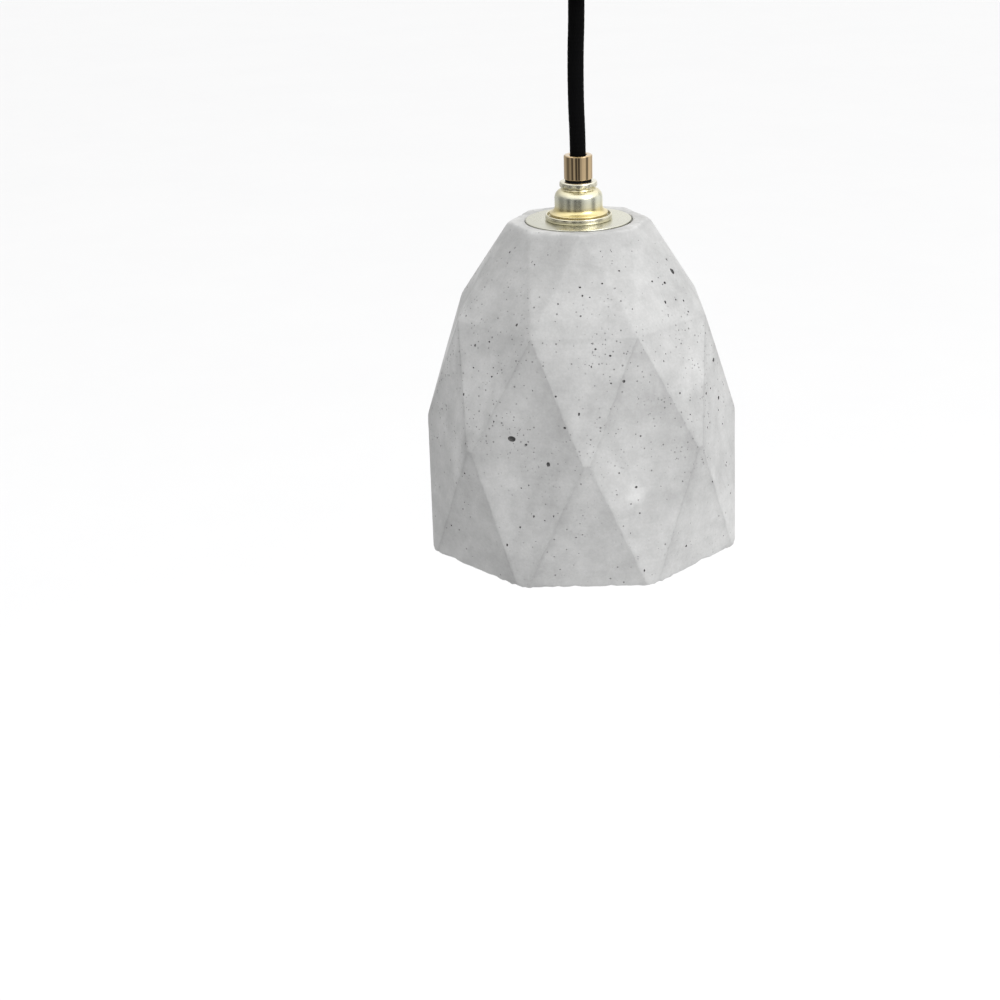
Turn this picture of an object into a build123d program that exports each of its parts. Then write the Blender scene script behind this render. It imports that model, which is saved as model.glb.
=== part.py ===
from build123d import *
import os
from math import cos, radians, sin

# Faceted cast-concrete pendant light: a small E14 metal lampholder in a concrete shade, hung on a
# textile cord from a flat ceiling canopy. Millimetres, +Z up, origin on the ceiling at the middle of
# the bracket. Heights inside the lamp are given above the shade's open rim and turned into Z by at().

# --- concrete shade: four rings of facet corners, eight to a ring ---
SIDES = 8
SHADE_HEIGHT = 147.0
RIM_RADIUS = 75.0          # diamond facets, measured at the rim
RIM_EDGE_RADIUS = 70.1     # skirt triangles, measured at the rim
BELLY_RADIUS = 71.55       # corners where the skirt and shoulder triangles meet
BELLY_HEIGHT = 57.0
SHOULDER_RADIUS = 58.9     # corners at the tips of the diamonds
SHOULDER_HEIGHT = 108.75
CROWN_RADIUS = 31.3        # corners of the flat octagonal top
WEB_BOTTOM = 137.0         # underside of the shade's top, inside
HOLE_RADIUS = 14.6
# Inside of the shade as (radius, height): mouth, waist, and the turns of its domed top.
CAVITY_MOUTH = (62.0, 0.0)
CAVITY_WAIST = (58.5, 57.0)
CAVITY_DOME = (50.5, 100.0)
CAVITY_SHOULDER = (27.0, 131.0)
CAVITY_CORNER = (24.5, 135.5)
CAVITY_TOP_RADIUS = 20.5

# --- top plate, gasket and shade ring ---
PLATE_RADIUS = 23.5
PLATE_THICKNESS = 1.5
PLATE_TOP = SHADE_HEIGHT + 0.3
PLATE_GAP = 0.5
PLATE_CHAMFER = 0.2
GASKET_THICKNESS = 1.5
RING_RADIUS = 19.5
RING_GRIP_RADIUS = 17.0
RING_HEIGHT = 6.0
RING_FLANGE = 1.6
RING_RIBS = 24
RING_RIB_RADIUS = 0.7

# --- lampholder: barrel thread 28 x 2, cap with an M10 neck ---
BARREL_RADIUS = 13.95
BARREL_BORE = 12.65
BARREL_BOTTOM = 118.0
BARREL_PITCH = 2.0
THREAD_DEPTH = 0.5
THREAD_END_HEIGHT = 140.0
FOOT_RADIUS = 11.0         # turned-in foot that carries the insulator
FOOT_THICKNESS = 1.5
COLLAR_RADIUS = 14.8
COLLAR_HEIGHT = 2.4
SEAT_HEIGHT = 1.9          # the cap's lip sits in the collar at this height above the plate
BORE_OVER_BARREL = 14.05
CAP_BODY_RADIUS = 10.6
CAP_LIP_RADIUS = 12.95
CAP_SKIRT_RADIUS = 12.6
CAP_WALL = 0.8
CAP_NECK_RADIUS = 8.3
CAP_TOP = 164.0
NECK_SCALLOPS = 12
SCALLOP_RADIUS = 1.2
SCALLOP_LENGTH = 2.6
INSULATOR_RADIUS = 12.4
INSULATOR_TOP = 143.9
INSULATOR_BOTTOM = 119.5
SOCKET_RADIUS = 8.2
SOCKET_TOP = 137.0
SHELL_INNER_RADIUS = 7.2
SHELL_BOTTOM = 121.0
SHELL_TOP = 135.8
TERMINAL_X = 6.5
TERMINAL_SIZE = (5.0, 5.5, 6.0)
TERMINAL_SINK = 1.0
TERMINAL_SCREW_HEIGHT = 3.4
TERMINAL_HOLE_RADIUS = 0.8
SCREW_SHANK = (0.95, 2.0)  # radius and length
SCREW_HEAD = (1.5, 0.5)
EARTH_Y = 8.0
RIVET_RADIUS = 1.2
TAB_X = 7.6
TAB_SIZE = (0.7, 3.0)
TONGUE_X = -2.6
TONGUE_SIZE = (10.4, 3.6, 0.4)

# --- cord grips, one on the lampholder and one under the canopy ---
CORD_RADIUS = 3.5
STUB_RADIUS = 4.95
STUB_LENGTH = 6.0
FLANGE_RADIUS = 5.8
FLANGE_THICKNESS = 1.0
COLLET_RADIUS = 4.7
COLLET_LENGTH = 5.4
GRIP_RADIUS = 6.3
GRIP_LENGTH = 10.4
GRIP_CHAMFER = 0.5

# --- bulb: G45 globe with an E14 screw cap ---
BULB_LENGTH = 78.0
BULB_RADIUS = 22.5
GLASS_WALL = 0.8
BULB_CAP_RADIUS = 6.9
CONTACT_HEIGHT = 136.5     # tip of the bulb's centre contact
BUTTON_HEIGHT = 135.0
CAP_SHOULDER = 132.5
THREAD_END = 119.0
CAP_END = 111.5
CAP_MOUTH_RADIUS = 8.5
NECK_RADIUS = 7.8
GLASS_TOP = 113.5
STEM_END = 94.0
STEM_FLARE = 104.0
STEM_SEAL = 110.0
FILAMENT_BOTTOM = 68.0
FILAMENT_LENGTH = 30.0
FILAMENT_RADIUS = 0.8
FILAMENT_CIRCLE = 7.5
FILAMENTS = 4

# --- canopy and ceiling bracket ---
CANOPY_RADIUS = 40.0
CANOPY_HEIGHT = 30.0
CANOPY_WALL = 1.2
CANOPY_CORNER = 5.0
STRAP_THICKNESS = 1.6
STRAP_WIDTH = 14.0
SCREW_SPACING = 50.0
SCREW_HOLE_RADIUS = 2.25
EAR_LENGTH = 11.0
EAR_SCREW_DROP = 6.0
BLOCK_SIZE = (26.0, 17.0, 13.0)
BLOCK_FRONT = 12.0         # face of the terminal block that the lamp's wires enter
BLOCK_TOP = -4.0
LOCKNUT_HEIGHT = 3.0
LOCKNUT_RADIUS = 7.0       # to the flats
CABLE_HOLE_RADIUS = 5.2
EAR_SCREW = (1.45, 4.5)    # radius and length of the canopy's side screws
EAR_SCREW_HEAD = (2.75, 1.6)
POLE_PITCH = 8.0
CLAMP_BORE = 1.7
CLAMP_RADIUS = 2.4
CLAMP_SCREW_RADIUS = 1.6
WIRE_RADIUS = 1.1
WIRE_RING = 1.35           # wires lie on this radius inside the cord

# --- cord ---
CORD_SHOWN = 67.6          # between the two grips
CLEAR = 0.05

CANOPY_BOTTOM = -CANOPY_HEIGHT
OUTLET_MOUTH = CANOPY_BOTTOM - FLANGE_THICKNESS - GRIP_LENGTH
GRIP_BOTTOM = CAP_TOP + FLANGE_THICKNESS
GRIP_TOP = GRIP_BOTTOM + GRIP_LENGTH
RIM_Z = OUTLET_MOUTH - CORD_SHOWN - GRIP_TOP
CORD_END = CAP_TOP - STUB_LENGTH
TAIL_END = CANOPY_BOTTOM + 12.0

os.makedirs("parts", exist_ok=True)


def at(height):
    """Z of a height above the shade's open rim."""
    return RIM_Z + height


def raised(point):
    """A (radius, height above the rim) point with its height turned into Z."""
    return (point[0], at(point[1]))


def save(piece, label):
    """Names a finished piece and writes its STEP file."""
    piece.part.label = label
    export_step(piece.part, f"parts/{label}.step")


def turned(label, outline):
    """Turns a closed outline of (radius, Z) corners round the Z axis."""
    with BuildPart() as piece:
        with BuildSketch(Plane.XZ):
            with BuildLine():
                Polyline(*outline, close=True)
            make_face()
        revolve(axis=Axis.Z)
    save(piece, label)


def ring_outline(inner, outer, bottom, top):
    """Corners of a plain ring's section."""
    return [(inner, bottom), (outer, bottom), (outer, top), (inner, top)]


# ---------------------------------------------------------------- concrete shade
def facet(azimuth, lower, upper):
    """Plane of a facet that faces azimuth and holds two (radius, height) points."""
    run, rise = upper[0] - lower[0], upper[1] - lower[1]
    along = radians(azimuth)
    out = (cos(along), sin(along))
    return Plane(
        origin=(lower[0] * out[0], lower[0] * out[1], at(lower[1])),
        x_dir=(-out[1], out[0], 0),
        z_dir=(rise * out[0], rise * out[1], -run),
    )


half_side = cos(radians(180 / SIDES))
rim_edge = (RIM_EDGE_RADIUS, 0)
rim_tip = (RIM_RADIUS, 0)
belly = (BELLY_RADIUS, BELLY_HEIGHT)
shoulder = (SHOULDER_RADIUS, SHOULDER_HEIGHT)
shoulder_edge = (SHOULDER_RADIUS * half_side, SHOULDER_HEIGHT)
crown = (CROWN_RADIUS, SHADE_HEIGHT)
crown_edge = (CROWN_RADIUS * half_side, SHADE_HEIGHT)
cavity_top = (CAVITY_TOP_RADIUS, at(WEB_BOTTOM))

# Facets in line with the belly corners: skirt, shoulder and upper triangles. Facets in line with the
# tips between them: diamonds and crown triangles.
FACETS_AT_CORNERS = [(rim_edge, belly), (belly, shoulder_edge), (shoulder_edge, crown)]
FACETS_BETWEEN = [(rim_tip, shoulder), (shoulder, crown_edge)]

with BuildPart() as shade:
    with BuildSketch(Plane.XY.offset(RIM_Z)):
        Circle(RIM_RADIUS * 1.1)
    extrude(amount=SHADE_HEIGHT)
    for side in range(SIDES):
        turn = side * 360 / SIDES
        for lower, upper in FACETS_AT_CORNERS:
            split(bisect_by=facet(turn, lower, upper), keep=Keep.BOTTOM)
        for lower, upper in FACETS_BETWEEN:
            split(bisect_by=facet(turn + 180 / SIDES, lower, upper), keep=Keep.BOTTOM)
    with BuildSketch(Plane.XZ):
        with BuildLine():
            Polyline((0, at(WEB_BOTTOM)), (0, at(0)), raised(CAVITY_MOUTH), raised(CAVITY_WAIST))
            ThreePointArc(raised(CAVITY_WAIST), raised(CAVITY_DOME), raised(CAVITY_SHOULDER))
            ThreePointArc(raised(CAVITY_SHOULDER), raised(CAVITY_CORNER), cavity_top)
            Line(cavity_top, (0, at(WEB_BOTTOM)))
        make_face()
    revolve(axis=Axis.Z, mode=Mode.SUBTRACT)
    with BuildSketch(Plane.XY.offset(at(0))):
        Circle(HOLE_RADIUS)
    extrude(amount=SHADE_HEIGHT, mode=Mode.SUBTRACT)
    with BuildSketch(Plane.XY.offset(at(PLATE_TOP - PLATE_THICKNESS))):
        Circle(PLATE_RADIUS + PLATE_GAP)
    extrude(amount=PLATE_THICKNESS, mode=Mode.SUBTRACT)
save(shade, "shade")

# ---------------------------------------------------------------- plate, gasket, shade ring
with BuildPart() as top_plate:
    with BuildSketch(Plane.XY.offset(at(PLATE_TOP - PLATE_THICKNESS))):
        Circle(PLATE_RADIUS)
        Circle(BORE_OVER_BARREL, mode=Mode.SUBTRACT)
    extrude(amount=PLATE_THICKNESS)
    chamfer(top_plate.edges().group_by(Axis.Z)[-1], PLATE_CHAMFER)
save(top_plate, "top_plate")

GASKET_BOTTOM = WEB_BOTTOM - GASKET_THICKNESS
turned("shade_gasket", ring_outline(HOLE_RADIUS, RING_RADIUS, at(GASKET_BOTTOM), at(WEB_BOTTOM)))

with BuildPart() as shade_ring:
    with BuildSketch(Plane.XY.offset(at(GASKET_BOTTOM - RING_HEIGHT))):
        Circle(RING_GRIP_RADIUS)
        with PolarLocations(RING_GRIP_RADIUS, RING_RIBS):
            Circle(RING_RIB_RADIUS)
    extrude(amount=RING_HEIGHT)
    with BuildSketch(Plane.XY.offset(at(GASKET_BOTTOM - RING_FLANGE))):
        Circle(RING_RADIUS)
    extrude(amount=RING_FLANGE)
    with BuildSketch(Plane.XY.offset(at(GASKET_BOTTOM - RING_HEIGHT))):
        Circle(BORE_OVER_BARREL)
    extrude(amount=RING_HEIGHT, mode=Mode.SUBTRACT)
save(shade_ring, "shade_ring")

# ---------------------------------------------------------------- lampholder barrel and cap
COLLAR_TOP = PLATE_TOP + COLLAR_HEIGHT
SEAT_TOP = PLATE_TOP + SEAT_HEIGHT
FOOT_TOP = BARREL_BOTTOM + FOOT_THICKNESS
barrel_outline = [(BARREL_BORE, at(SEAT_TOP)), (BARREL_BORE, at(FOOT_TOP))]
barrel_outline += [(FOOT_RADIUS, at(FOOT_TOP)), (FOOT_RADIUS, at(BARREL_BOTTOM))]
barrel_outline += [(BARREL_RADIUS - THREAD_DEPTH, at(BARREL_BOTTOM))]
turns = int((THREAD_END_HEIGHT - BARREL_BOTTOM) / BARREL_PITCH)
for count in range(turns):
    root = at(BARREL_BOTTOM + (count + 0.5) * BARREL_PITCH)
    barrel_outline += [(BARREL_RADIUS, root - 0.3), (BARREL_RADIUS, root + 0.3)]
    barrel_outline += [(BARREL_RADIUS - THREAD_DEPTH, root + 0.8)]
    barrel_outline += [(BARREL_RADIUS - THREAD_DEPTH, root + 1.2)]
barrel_outline += [(BARREL_RADIUS, at(THREAD_END_HEIGHT + 1.0)), (BARREL_RADIUS, at(PLATE_TOP))]
barrel_outline += [(COLLAR_RADIUS - 0.3, at(PLATE_TOP)), (COLLAR_RADIUS, at(PLATE_TOP + 0.5))]
barrel_outline += [(COLLAR_RADIUS, at(COLLAR_TOP - 0.6)), (COLLAR_RADIUS - 0.4, at(COLLAR_TOP))]
barrel_outline += [(COLLAR_RADIUS - 0.8, at(COLLAR_TOP)), (COLLAR_RADIUS - 1.1, at(SEAT_TOP))]
turned("holder_barrel", barrel_outline)

LIP_BOTTOM = SEAT_TOP + 0.7
LIP_TOP = LIP_BOTTOM + 0.7
SKIRT_BOTTOM = INSULATOR_TOP + 0.1
FLARE_TOP = 153.4
BODY_TOP = 156.8
NECK_BOTTOM = 160.8
ROOF_BOTTOM = 159.8
inside_body = CAP_BODY_RADIUS - CAP_WALL
inside_skirt = CAP_SKIRT_RADIUS - CAP_WALL
with BuildPart() as holder_cap:
    with BuildSketch(Plane.XZ):
        with BuildLine():
            Polyline(
                (STUB_RADIUS + CLEAR, at(ROOF_BOTTOM)),
                (STUB_RADIUS + CLEAR, at(CAP_TOP)),
                (CAP_NECK_RADIUS - 0.4, at(CAP_TOP)),
                (CAP_NECK_RADIUS, at(CAP_TOP - 0.4)),
                (CAP_NECK_RADIUS, at(CAP_TOP - 2.1)),
                (CAP_NECK_RADIUS - 0.5, at(CAP_TOP - SCALLOP_LENGTH)),
                (CAP_NECK_RADIUS - 0.5, at(NECK_BOTTOM)),
            )
            ThreePointArc(
                (CAP_NECK_RADIUS - 0.5, at(NECK_BOTTOM)),
                (CAP_BODY_RADIUS - 0.85, at(NECK_BOTTOM - 1.4)),
                (CAP_BODY_RADIUS, at(BODY_TOP)),
            )
            Line((CAP_BODY_RADIUS, at(BODY_TOP)), (CAP_BODY_RADIUS, at(FLARE_TOP)))
            ThreePointArc(
                (CAP_BODY_RADIUS, at(FLARE_TOP)),
                (CAP_BODY_RADIUS + 0.8, at(LIP_TOP + 0.7)),
                (CAP_LIP_RADIUS, at(LIP_TOP)),
            )
            Polyline(
                (CAP_LIP_RADIUS, at(LIP_TOP)),
                (CAP_LIP_RADIUS, at(LIP_BOTTOM)),
                (CAP_SKIRT_RADIUS, at(LIP_BOTTOM - 0.3)),
                (CAP_SKIRT_RADIUS, at(SKIRT_BOTTOM)),
                (inside_skirt, at(SKIRT_BOTTOM)),
                (inside_skirt, at(LIP_BOTTOM - 0.6)),
                (inside_body, at(FLARE_TOP - 1.2)),
                (inside_body, at(BODY_TOP)),
                (STUB_RADIUS + 1.5, at(ROOF_BOTTOM)),
                (STUB_RADIUS + CLEAR, at(ROOF_BOTTOM)),
            )
        make_face()
    revolve(axis=Axis.Z)
    with BuildSketch(Plane.XY.offset(at(CAP_TOP - SCALLOP_LENGTH))):
        with PolarLocations(CAP_NECK_RADIUS + 0.85, NECK_SCALLOPS):
            Circle(SCALLOP_RADIUS)
    extrude(amount=SCALLOP_LENGTH, mode=Mode.SUBTRACT)
save(holder_cap, "holder_cap")

# ---------------------------------------------------------------- porcelain insulator and contacts
with BuildPart() as insulator:
    with BuildSketch(Plane.XY.offset(at(INSULATOR_BOTTOM))):
        Circle(INSULATOR_RADIUS)
    extrude(amount=INSULATOR_TOP - INSULATOR_BOTTOM)
    with BuildSketch(Plane.XY.offset(at(INSULATOR_BOTTOM))):
        Circle(SOCKET_RADIUS)
    extrude(amount=SOCKET_TOP - INSULATOR_BOTTOM, mode=Mode.SUBTRACT)
    with BuildSketch(Plane.XY.offset(at(INSULATOR_TOP - TERMINAL_SINK))):
        with Locations((TERMINAL_X, 0), (-TERMINAL_X, 0)):
            Rectangle(TERMINAL_SIZE[0] + 0.2, TERMINAL_SIZE[1] + 0.2)
    extrude(amount=TERMINAL_SINK, mode=Mode.SUBTRACT)
    with BuildSketch(Plane.XY.offset(at(SOCKET_TOP))):
        with Locations((-TERMINAL_X, 0)):
            Circle(RIVET_RADIUS + CLEAR)
        with Locations((TAB_X, 0)):
            Rectangle(TAB_SIZE[0] + 0.2, TAB_SIZE[1] + 0.2)
    extrude(amount=INSULATOR_TOP - SOCKET_TOP, mode=Mode.SUBTRACT)
save(insulator, "insulator")

with BuildPart() as contact_shell:
    with BuildSketch(Plane.XY.offset(at(SHELL_BOTTOM))):
        Circle(SOCKET_RADIUS - CLEAR)
        Circle(SHELL_INNER_RADIUS, mode=Mode.SUBTRACT)
    extrude(amount=SHELL_TOP - SHELL_BOTTOM)
    with BuildSketch(Plane.XY.offset(at(SHELL_TOP - 1))):
        with Locations((TAB_X, 0)):
            Rectangle(*TAB_SIZE)
    extrude(amount=INSULATOR_TOP - TERMINAL_SINK - SHELL_TOP + 1)
save(contact_shell, "contact_shell")

TONGUE_TOP = SOCKET_TOP - 0.05
with BuildPart() as centre_contact:
    with BuildSketch(Plane.XY.offset(at(TONGUE_TOP))):
        with Locations((TONGUE_X, 0)):
            SlotOverall(*TONGUE_SIZE[:2])
    extrude(amount=-TONGUE_SIZE[2])
    with BuildSketch(Plane.XY.offset(at(TONGUE_TOP))):
        with Locations((-TERMINAL_X, 0)):
            Circle(RIVET_RADIUS)
    extrude(amount=INSULATOR_TOP - TERMINAL_SINK - TONGUE_TOP)
save(centre_contact, "centre_contact")


def terminal(label, place, bottom):
    """A brass terminal pillar with a wire hole from above and a screw hole from outside."""
    with BuildPart() as pillar:
        with BuildSketch(Plane.XY.offset(at(bottom))):
            with Locations(place):
                Rectangle(*TERMINAL_SIZE[:2])
        extrude(amount=TERMINAL_SIZE[2])
        with BuildSketch(Plane.XY.offset(at(bottom + TERMINAL_SIZE[2]))):
            with Locations(place):
                Circle(TERMINAL_HOLE_RADIUS)
        extrude(amount=2.0 - TERMINAL_SIZE[2], mode=Mode.SUBTRACT)
        with BuildSketch(screw_plane(place, bottom)):
            Circle(SCREW_SHANK[0] + CLEAR)
        extrude(amount=-SCREW_SHANK[1] - 0.2, mode=Mode.SUBTRACT)
    save(pillar, label)


def screw_plane(place, bottom):
    """Plane on a terminal's outer face, facing outwards, half way up."""
    out = Vector(*place).normalized()
    depth = TERMINAL_SIZE[0] / 2 if abs(place[0]) > abs(place[1]) else TERMINAL_SIZE[1] / 2
    face = Vector(*place) + out * depth
    return Plane(origin=(face.X, face.Y, at(bottom + TERMINAL_SCREW_HEIGHT)), z_dir=(out.X, out.Y, 0))


PILLAR_BOTTOM = INSULATOR_TOP - TERMINAL_SINK
TERMINALS = {
    "line_terminal": ((-TERMINAL_X, 0), PILLAR_BOTTOM),
    "neutral_terminal": ((TERMINAL_X, 0), PILLAR_BOTTOM),
    "earth_terminal": ((0, EARTH_Y), INSULATOR_TOP),
}
for name, (place, bottom) in TERMINALS.items():
    terminal(name, place, bottom)

with BuildPart() as holder_screws:
    for place, bottom in TERMINALS.values():
        with BuildSketch(screw_plane(place, bottom)):
            Circle(SCREW_SHANK[0])
        extrude(amount=-SCREW_SHANK[1])
        with BuildSketch(screw_plane(place, bottom)):
            Circle(SCREW_HEAD[0])
        extrude(amount=SCREW_HEAD[1])
save(holder_screws, "holder_screws")

# ---------------------------------------------------------------- cord grips
def grip_insert(label, flange_bottom, up, stub):
    """Black nylon insert: M10 stub, flange and collet. up is +1 with the collet above, -1 below."""
    bore = CORD_RADIUS + CLEAR
    flange_top = flange_bottom + up * FLANGE_THICKNESS
    end = flange_top + up * COLLET_LENGTH
    turned(label, [
        (bore, flange_bottom - up * stub),
        (STUB_RADIUS, flange_bottom - up * stub),
        (STUB_RADIUS, flange_bottom),
        (FLANGE_RADIUS, flange_bottom),
        (FLANGE_RADIUS, flange_top),
        (COLLET_RADIUS, flange_top),
        (COLLET_RADIUS, end - up),
        (COLLET_RADIUS - 0.5, end),
        (bore, end),
    ])


def grip_nut(label, start, up, mouth_radius, mouth_flare):
    """Turned brass nut over the collet, from its flange face start to its mouth."""
    bore = COLLET_RADIUS + 0.2
    end = start + up * GRIP_LENGTH
    lip = end - up * 2.4
    turned(label, [
        (bore, start),
        (GRIP_RADIUS - 0.2, start),
        (GRIP_RADIUS, start + up * 0.2),
        (GRIP_RADIUS, end - up * GRIP_CHAMFER),
        (GRIP_RADIUS - GRIP_CHAMFER, end),
        (mouth_radius + mouth_flare, end),
        (mouth_radius, end - up * mouth_flare),
        (mouth_radius, lip),
        (bore, lip - up * (bore - mouth_radius)),
    ])


grip_insert("grip_insert", at(CAP_TOP), 1, STUB_LENGTH)
grip_nut("grip_nut", at(GRIP_BOTTOM), 1, CORD_RADIUS + 0.25, 0.3)
grip_insert("outlet_insert", CANOPY_BOTTOM, -1, STUB_LENGTH)
grip_nut("outlet_nut", CANOPY_BOTTOM - FLANGE_THICKNESS - CLEAR, -1, CORD_RADIUS + 0.35, 1.0)

# ---------------------------------------------------------------- cord
# The hanging cord is one straight stretch. Its upper end is domed about the point where it bends
# under the canopy, so that it swings inside the outlet nut without touching the fixed tail above.
CORD_LENGTH = OUTLET_MOUTH - at(CORD_END)
with BuildPart() as cord:
    with BuildSketch(Plane.XY.offset(at(CORD_END))):
        Circle(CORD_RADIUS)
    extrude(amount=CORD_LENGTH)
    with Locations((0, 0, OUTLET_MOUTH)):
        Sphere(CORD_RADIUS)
save(cord, "cord")

TAIL_START = OUTLET_MOUTH + CORD_RADIUS + 0.1
with BuildPart() as cord_tail:
    with BuildSketch(Plane.XY.offset(TAIL_START)):
        Circle(CORD_RADIUS)
    extrude(amount=TAIL_END - TAIL_START)
save(cord_tail, "cord_tail")


def wire(label, points, bend):
    """One insulated core: a round tube along straight runs joined by tangent arcs."""
    with BuildPart() as core:
        with BuildLine() as path:
            FilletPolyline(*points, radius=bend)
        with BuildSketch(Plane(origin=path.line @ 0, z_dir=path.line % 0)):
            Circle(WIRE_RADIUS)
        sweep()
    save(core, label)


def cord_slot(turn, z):
    """Place of one core inside the cord, at an angle in degrees."""
    return (WIRE_RING * cos(radians(turn)), WIRE_RING * sin(radians(turn)), z)


CORES = {"line": 210, "neutral": 330, "earth": 90}   # degrees round the cord's middle
LEAD_BEND = 1.8
SUPPLY_BEND = 2.6
SPREAD_BEND = 1.6
for name, (place, bottom) in zip(CORES, TERMINALS.values()):
    start = cord_slot(CORES[name], at(CORD_END))
    lead = (start[0], start[1], at(CORD_END - 2.0))
    top = at(bottom + TERMINAL_SIZE[2])
    above = (place[0], place[1], top + 2.2)
    wire(f"{name}_wire", [start, lead, above, (place[0], place[1], top)], LEAD_BEND)

WIRE_LEVEL = BLOCK_TOP - BLOCK_SIZE[2] / 2
for name, pole in zip(CORES, (-POLE_PITCH, POLE_PITCH, 0)):
    start = cord_slot(CORES[name], TAIL_END)
    turn_point = (start[0], start[1], WIRE_LEVEL)
    end = (pole, BLOCK_FRONT, WIRE_LEVEL)
    if pole:
        spread = (pole, BLOCK_FRONT - 3.0, WIRE_LEVEL)
        wire(f"supply_{name}_wire", [start, turn_point, spread, end], [SUPPLY_BEND, SPREAD_BEND])
    else:
        wire(f"supply_{name}_wire", [start, turn_point, end], SUPPLY_BEND)

# ---------------------------------------------------------------- bulb
BULB_BOTTOM = CONTACT_HEIGHT - BULB_LENGTH
BULB_CENTRE = BULB_BOTTOM + BULB_RADIUS
turned("bulb_contact", [
    (0, at(BUTTON_HEIGHT)), (2.4, at(BUTTON_HEIGHT)), (2.4, at(CONTACT_HEIGHT - 0.5)),
    (1.6, at(CONTACT_HEIGHT)),
    (0, at(CONTACT_HEIGHT)),
])
turned("bulb_insulator", [
    (0, at(CAP_SHOULDER + CLEAR)), (6.0, at(CAP_SHOULDER + CLEAR)), (3.0, at(BUTTON_HEIGHT)),
    (0, at(BUTTON_HEIGHT)),
])
turned("bulb_cap", [
    (6.2, at(CAP_SHOULDER)), (6.6, at(CAP_SHOULDER - 0.4)), (BULB_CAP_RADIUS, at(CAP_SHOULDER - 1.2)),
    (BULB_CAP_RADIUS, at(THREAD_END)), (CAP_MOUTH_RADIUS, at(CAP_END + 2.2)),
    (CAP_MOUTH_RADIUS, at(CAP_END)), (NECK_RADIUS + CLEAR, at(CAP_END)),
    (NECK_RADIUS + CLEAR, at(CAP_END + 2.2)), (BULB_CAP_RADIUS - 0.5, at(THREAD_END)),
    (BULB_CAP_RADIUS - 0.5, at(CAP_SHOULDER - 1.0)), (0, at(CAP_SHOULDER - 1.0)),
    (0, at(CAP_SHOULDER)),
])


def globe_wall(radius, neck):
    """Arc and neck line of the globe's outer or inner face, from the bottom pole upwards."""
    joint = at(BULB_CENTRE) + (radius**2 - neck**2) ** 0.5
    middle = (radius * cos(radians(-10)), at(BULB_CENTRE) + radius * sin(radians(-10)))
    return joint, middle


with BuildPart() as bulb_glass:
    outer_joint, outer_middle = globe_wall(BULB_RADIUS, NECK_RADIUS)
    inner_joint, inner_middle = globe_wall(BULB_RADIUS - GLASS_WALL, NECK_RADIUS - GLASS_WALL)
    inner_neck = NECK_RADIUS - GLASS_WALL
    with BuildSketch(Plane.XZ):
        with BuildLine():
            ThreePointArc((0, at(BULB_BOTTOM)), outer_middle, (NECK_RADIUS, outer_joint))
            Polyline((NECK_RADIUS, outer_joint), (NECK_RADIUS, at(GLASS_TOP)),
                     (inner_neck, at(GLASS_TOP)), (inner_neck, inner_joint))
            ThreePointArc((inner_neck, inner_joint), inner_middle, (0, at(BULB_BOTTOM + GLASS_WALL)))
            Line((0, at(BULB_BOTTOM + GLASS_WALL)), (0, at(BULB_BOTTOM)))
        make_face()
    revolve(axis=Axis.Z)
save(bulb_glass, "bulb_glass")

STEM_TOP = GLASS_TOP - 0.5
turned("bulb_stem", [
    (0, at(STEM_END)), (2.2, at(STEM_END)), (2.2, at(STEM_FLARE)), (6.9, at(STEM_SEAL)),
    (6.9, at(STEM_TOP)), (0, at(STEM_TOP)),
])
with BuildPart() as bulb_filaments:
    with BuildSketch(Plane.XY.offset(at(FILAMENT_BOTTOM))):
        with PolarLocations(FILAMENT_CIRCLE, FILAMENTS):
            Circle(FILAMENT_RADIUS)
    extrude(amount=FILAMENT_LENGTH)
save(bulb_filaments, "bulb_filaments")

# ---------------------------------------------------------------- canopy and bracket
with BuildPart() as canopy:
    with BuildSketch(Plane.XY.offset(CANOPY_BOTTOM)):
        Circle(CANOPY_RADIUS)
    extrude(amount=CANOPY_HEIGHT)
    fillet(canopy.edges().group_by(Axis.Z)[0], CANOPY_CORNER)
    offset(amount=-CANOPY_WALL, openings=canopy.faces().sort_by(Axis.Z)[-1])
    with BuildSketch(Plane.XY.offset(CANOPY_BOTTOM)):
        Circle(STUB_RADIUS + CLEAR)
    extrude(amount=CANOPY_WALL, mode=Mode.SUBTRACT)
    with BuildSketch(Plane.YZ.offset(-CANOPY_RADIUS)):
        with Locations((0, -EAR_SCREW_DROP)):
            Circle(EAR_SCREW[0] + 0.15)
    extrude(amount=2 * CANOPY_RADIUS, mode=Mode.SUBTRACT)
save(canopy, "canopy")

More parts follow.
